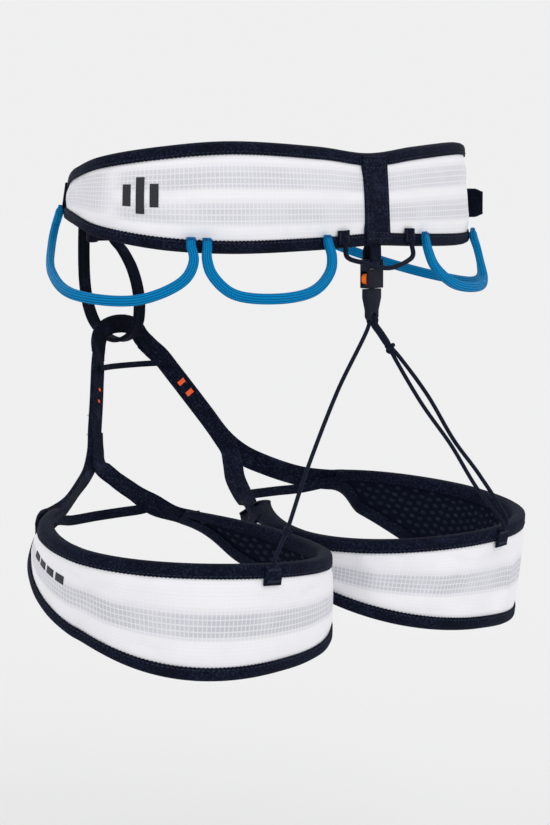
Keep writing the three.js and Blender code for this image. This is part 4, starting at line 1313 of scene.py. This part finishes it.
# The soft inner straps lie twisted a little differently on the two legs.
INNER_FACING = {
    "left": [STRAP_FACING, STRAP_FACING, (0.05, -1, 0), (0.1, -0.97, -0.2), (0.1, -0.95, -0.1),
             (-0.2, -0.9, 0.2)] + [(-0.4, -0.6, 0.6)] * 5,
    "right": [STRAP_FACING, (0.2, -0.95, -0.1), (0.4, -0.85, -0.35), (0.5, -0.6, -0.6), (0.55, -0.35, -0.75),
              (0.45, -0.4, -0.75), (0.3, -0.6, -0.6), (0.0, -0.9, -0.2), (-0.2, -0.85, 0.2)]
             + [(-0.4, -0.6, 0.6)] * 2,
}
LEG_TAPE = 7.5


def padding_end(side, inset, depth, turn=2.2):
    end = LEG_OUTER_END if side > 0 else LEG_INNER_END
    return band_point(leg_band(1), end + side * math.radians(turn), "top", inset, depth)[0]


leg_pads = {}
for side_name, side in SIDES:
    band = leg_band(side)
    body = f"leg_loop_{side_name}"
    flip = np.array((side, 1, 1))
    mirror = lambda points: [tuple(np.asarray(p, float) * flip) for p in points]
    pad = Pad(f"leg_padding_{side_name}", band, LEG_INNER_END, LEG_OUTER_END, 150, body,
              (f"leg_shell_{side_name}", f"leg_lining_{side_name}"), LEG_TAPE, leg_thin)
    leg_pads[side_name] = pad
    for band_edge in ("top", "bottom"):
        binding(f"leg_binding_{band_edge}_{side_name}", band, LEG_INNER_END, LEG_OUTER_END, band_edge,
                LEG_TAPE, body, f"leg_{band_edge}_tape_{side_name}")
    lining_dots(f"leg_grip_dots_{side_name}", pad, LEG_TAPE, body)
    stitches = []
    for band_edge in ("top", "bottom"):
        stitches += seam(band, LEG_INNER_END, LEG_OUTER_END, band_edge, LEG_TAPE - 1.6, TAPE_FACE)
    end_binding(f"leg_end_inner_{side_name}", band, LEG_INNER_END, -1, body)
    end_binding(f"leg_end_outer_{side_name}", band, LEG_OUTER_END, 1, body)

    # The front webbing runs from the arch over the thigh and onto the padding in one piece.
    lap = [padding_end(1, 8.5, 1.7, turn) for turn in (-3, -8, -13, -18)]
    outer_path = [*FRONT_STRAP_TOP, *FRONT_STRAP_BOTTOM, (72, -99, -177), (88, -91.5, -185.5),
                  (110, -80, -194), padding_end(1, 9, 0.2, 2.2), *lap]
    outer_facing = [STRAP_FACING] * 7 + [(0.15, -0.95, 0.2), (0.3, -0.9, 0.3), (0.45, -0.87, 0.2)]
    outer_facing += [tuple(leg_band(1)(LEG_OUTER_END + math.radians(t))[2][0]) for t in (0, -3, -8, -13, -18)]

    def taper(f):
        return (1 - 0.25 * smooth(f, 0.90, 1.0), 1 - 0.45 * smooth(f, 0.80, 0.92))

    front = swept(f"leg_webbing_outer_{side_name}", mirror(outer_path), mirror(outer_facing),
                  flat_section(14, 2.2, 0.15, 0.16, 13), "strap", None, 230, taper)
    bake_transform(front)
    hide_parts(f"front_strap_{side_name}", f"leg_front_strap_{side_name}",
                f"leg_outer_branch_{side_name}")

    inner_lap = [padding_end(-1, 8.5, 1.7, turn) for turn in (-3, -8, -13, -17)]
    inner_path = [(52.3, -111.4, -152), (57, -105.7, -162.5), (60.5, -99.5, -173), (55.5, -91.5, -181.5),
                  (48, -82, -190), (41, -69, -198.5), padding_end(-1, 8.5, 0.9, 2.2), *inner_lap]
    inner_facing = INNER_FACING[side_name]
    inner = swept(f"leg_webbing_inner_{side_name}", mirror(inner_path), mirror(inner_facing),
                  flat_section(13.5, 2.0, 0.15, 0.14, 13), "strap", body, 150)
    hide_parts(f"leg_inner_branch_{side_name}")

    cross_path = [padding_end(1, 10.5, -6.2, -4), padding_end(1, 10.5, -6.2), (108, -75, -202),
                  (84, -78, -202), (62, -76.5, -201.5), (51, -74, -201), (44, -72.5, -200), (39.5, -70, -198)]
    cross_facing = [(0.4, -0.92, 0), (0.3, -0.95, 0), (0.15, -1, 0), (0, -1, 0), (-0.2, -0.97, 0),
                    (-0.3, -0.95, 0), (-0.35, -0.92, -0.1), (-0.4, -0.9, -0.15)]
    cross = swept(f"leg_cross_elastic_{side_name}", mirror(cross_path), mirror(cross_facing),
                  flat_section(6.5, 1.4, 0.1, 0.05), "tape", body, 80)
    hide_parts(f"leg_cross_band_{side_name}")

    tab_middle = RISER_PLACE[side_name]
    tab_places = tab_middle + np.radians(np.linspace(-3.7, 3.7, 13))
    top, bottom, outs = band(tab_places)
    heights = np.linalg.norm(top - bottom, axis=1)
    tab = band_strip(f"riser_tab_{side_name}_webbing", band, tab_places, heights - 11.5, heights + 0.8,
                     OVER_TAPE - 0.1, 1.5, "strap", body, 9, 0.25)
    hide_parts(f"leg_riser_tab_{side_name}")
    for edge_inset in (2.2, 9.3):
        point = band_point(band, tab_middle, "top", edge_inset, OVER_TAPE + 1.75)[0]
        tangent = band(tab_middle + 0.03)[0][0] - band(tab_middle - 0.03)[0][0]
        stitches += bartack(point, tangent, band(tab_middle)[2][0], 9.0, 2.0, 13)
    # Box stitches where the webbing is sewn to the padding.
    for turn in (-4, -15):
        angle = LEG_OUTER_END + math.radians(turn)
        point = padding_end(1, 8.5, 2.25, turn) * flip
        tangent = (padding_end(1, 8.5, 2.25, turn + 2) - padding_end(1, 8.5, 2.25, turn - 2)) * flip
        stitches += bartack(point, tangent, leg_band(1)(angle)[2][0] * flip, 2.6, 10.5, 5)
    beads(f"leg_stitches_{side_name}", stitches, "thread", body)

    # Bar tacks where the two branches part.
    part_tacks = []
    for centre_point in ((54.5, -111.3, -155.0), (48.0, -117.3, -143.5)):
        for face in (1, -1):
            outward = np.array(STRAP_FACING) * face
            point = (np.array(centre_point) + outward * 1.3) * flip
            part_tacks += bartack(point, np.array((9.0, -8.0, -16.0)) * flip, outward * flip, 2.6, 11.5, 5)
    beads(f"leg_branch_tacks_{side_name}", part_tacks, "thread", body)


# Small orange woven marks on the straps' backs.
def strap_mark(name, middle, way, width, length, side):
    outward = -unit(np.array(STRAP_FACING, float)) * (side, 1, 1)
    way = unit(np.asarray(way, float))
    middle = np.asarray(middle, float) + outward * 1.3
    return swept(name, [middle - way * length / 2, middle + way * length / 2], [outward],
                 flat_section(width, 0.35, 0.0, 0.0, 5), "orange_print", None, 8)


right_way = np.array((-6.6, 6.2, -11.8))
right_centre = np.array((-40.8, -123.1, -130.2))
marks = [strap_mark(f"mark_{index}", right_centre + unit(right_way) * shift, right_way, width, length, -1)
         for index, (shift, width, length) in enumerate(((-4.4, 6.0, 3.0), (4.6, 6.0, 3.2)))]
joined("strap_mark_right", marks, "leg_loop_right")
left_way = np.array((6.6, 6.2, -11.8))
marks = [strap_mark(f"dot_{index}", (x, y, z), left_way, 2.0, 2.0, 1)
         for index, (x, y, z) in enumerate(((37.6, -124.9, -127.0), (41.6, -121.4, -134.0)))]
joined("strap_mark_left", marks, "leg_loop_left")

keeper_path = [(-33, -127.6, -113.5), (-15, -133.6, -113.5), (15, -133.6, -113.5), (33, -127.6, -113.5)]
keeper = swept("cross_keeper_elastic", keeper_path, [(-0.3, -1, 0), (0.3, -1, 0)],
               flat_section(4, 1.0, 0.05, 0.02, 5), "tape", "belt", 60)
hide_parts("cross_keeper")


# ------------------------------------------------------------------ prints
PRINT_LIFT = 0.14
PRINT_THICKNESS = 0.00018


def print_patch(name, pad, place, rise, shift, half, steps):
    """A thin printed rectangle on a pad: its shift along it and its half sizes are millimetres."""
    wide, high = half
    left, right = shift - wide, shift + wide
    corners = np.array([(left, -high), (right, -high), (right, high), (left, high)], float)
    u = np.linspace(0, 1, steps[0])
    v = np.linspace(0, 1, steps[1])
    points, faces, cloth = [], [], []
    base = np.interp(place, pad.places, pad.along)
    tall = np.interp(place, pad.places, pad.height)
    for a in u:
        for b in v:
            lower = corners[0] * (1 - a) + corners[1] * a
            upper = corners[3] * (1 - a) + corners[2] * a
            x, y = lower * (1 - b) + upper * b
            spot = np.interp(base + x, pad.along, pad.places)
            point, _, _, face = pad.at(spot, rise + y / tall)
            points.append(point + face * PRINT_LIFT)
            cloth.append((x, y))
    found = []
    for i in range(steps[0] - 1):
        for j in range(steps[1] - 1):
            near, far = i * steps[1] + j, (i + 1) * steps[1] + j
            quad = (near, far, far + 1, near + 1)
            faces.append(quad)
            found += [cloth[k] for k in quad]
    made = make_object(name, np.array(points), faces, "navy_print", None, found)
    solid = made.modifiers.new("thickness", "SOLIDIFY")
    solid.thickness = PRINT_THICKNESS
    solid.offset = 0
    with bpy.context.temp_override(object=made, active_object=made):
        bpy.ops.object.modifier_apply(modifier="thickness")
    return made


bars = [print_patch(f"bar_{index}", belt_pad, 0.2065, 0.53, shift, (2.6, length / 2), (7, 18))
        for index, (shift, length) in enumerate(((-8.5, 13), (0, 21), (8.5, 13)))]
joined("belt_print", bars, "belt")
dashes = [print_patch(f"dash_{index}", leg_pads["left"], math.radians(108), 0.60, 11.0 * index - 16.5,
                      (4.2, 2.4), (8, 5)) for index in range(4)]
joined("leg_print", dashes, "leg_loop_left")

# ------------------------------------------------------------------ floor and end
floor_mesh = bpy.data.meshes.new("floor")
FLOOR_REACH = 14.0
FLOOR_SIGNS = ((-1, -1), (1, -1), (1, 1), (-1, 1))
floor_corners = [(x * FLOOR_REACH, y * FLOOR_REACH, FLOOR_AT) for x, y in FLOOR_SIGNS]
floor_mesh.from_pydata(floor_corners, [], [(0, 1, 2, 3)])
floor = bpy.data.objects.new("floor", floor_mesh)
bpy.context.scene.collection.objects.link(floor)
paper = Graph("paper")
lit = sum(power * Vector(place).normalized().z for _, place, power, _ in SUNS) / math.pi
paper_tone = tuple(tone * BACKDROP[0] / (BACKDROP[0] + lit) / BACKDROP[0] for tone in BACKDROP)
floor_mesh.materials.append(paper.finish(paper.mix(paper.noise(2.0), paper_tone, paper_tone), 1.0,
                                         Specular_IOR_Level=0.0))
floor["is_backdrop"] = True

plain = lambda box: [[float(value) for value in corner] for corner in box]
{"cad": plain(cad_box), "visual": plain(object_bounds())}
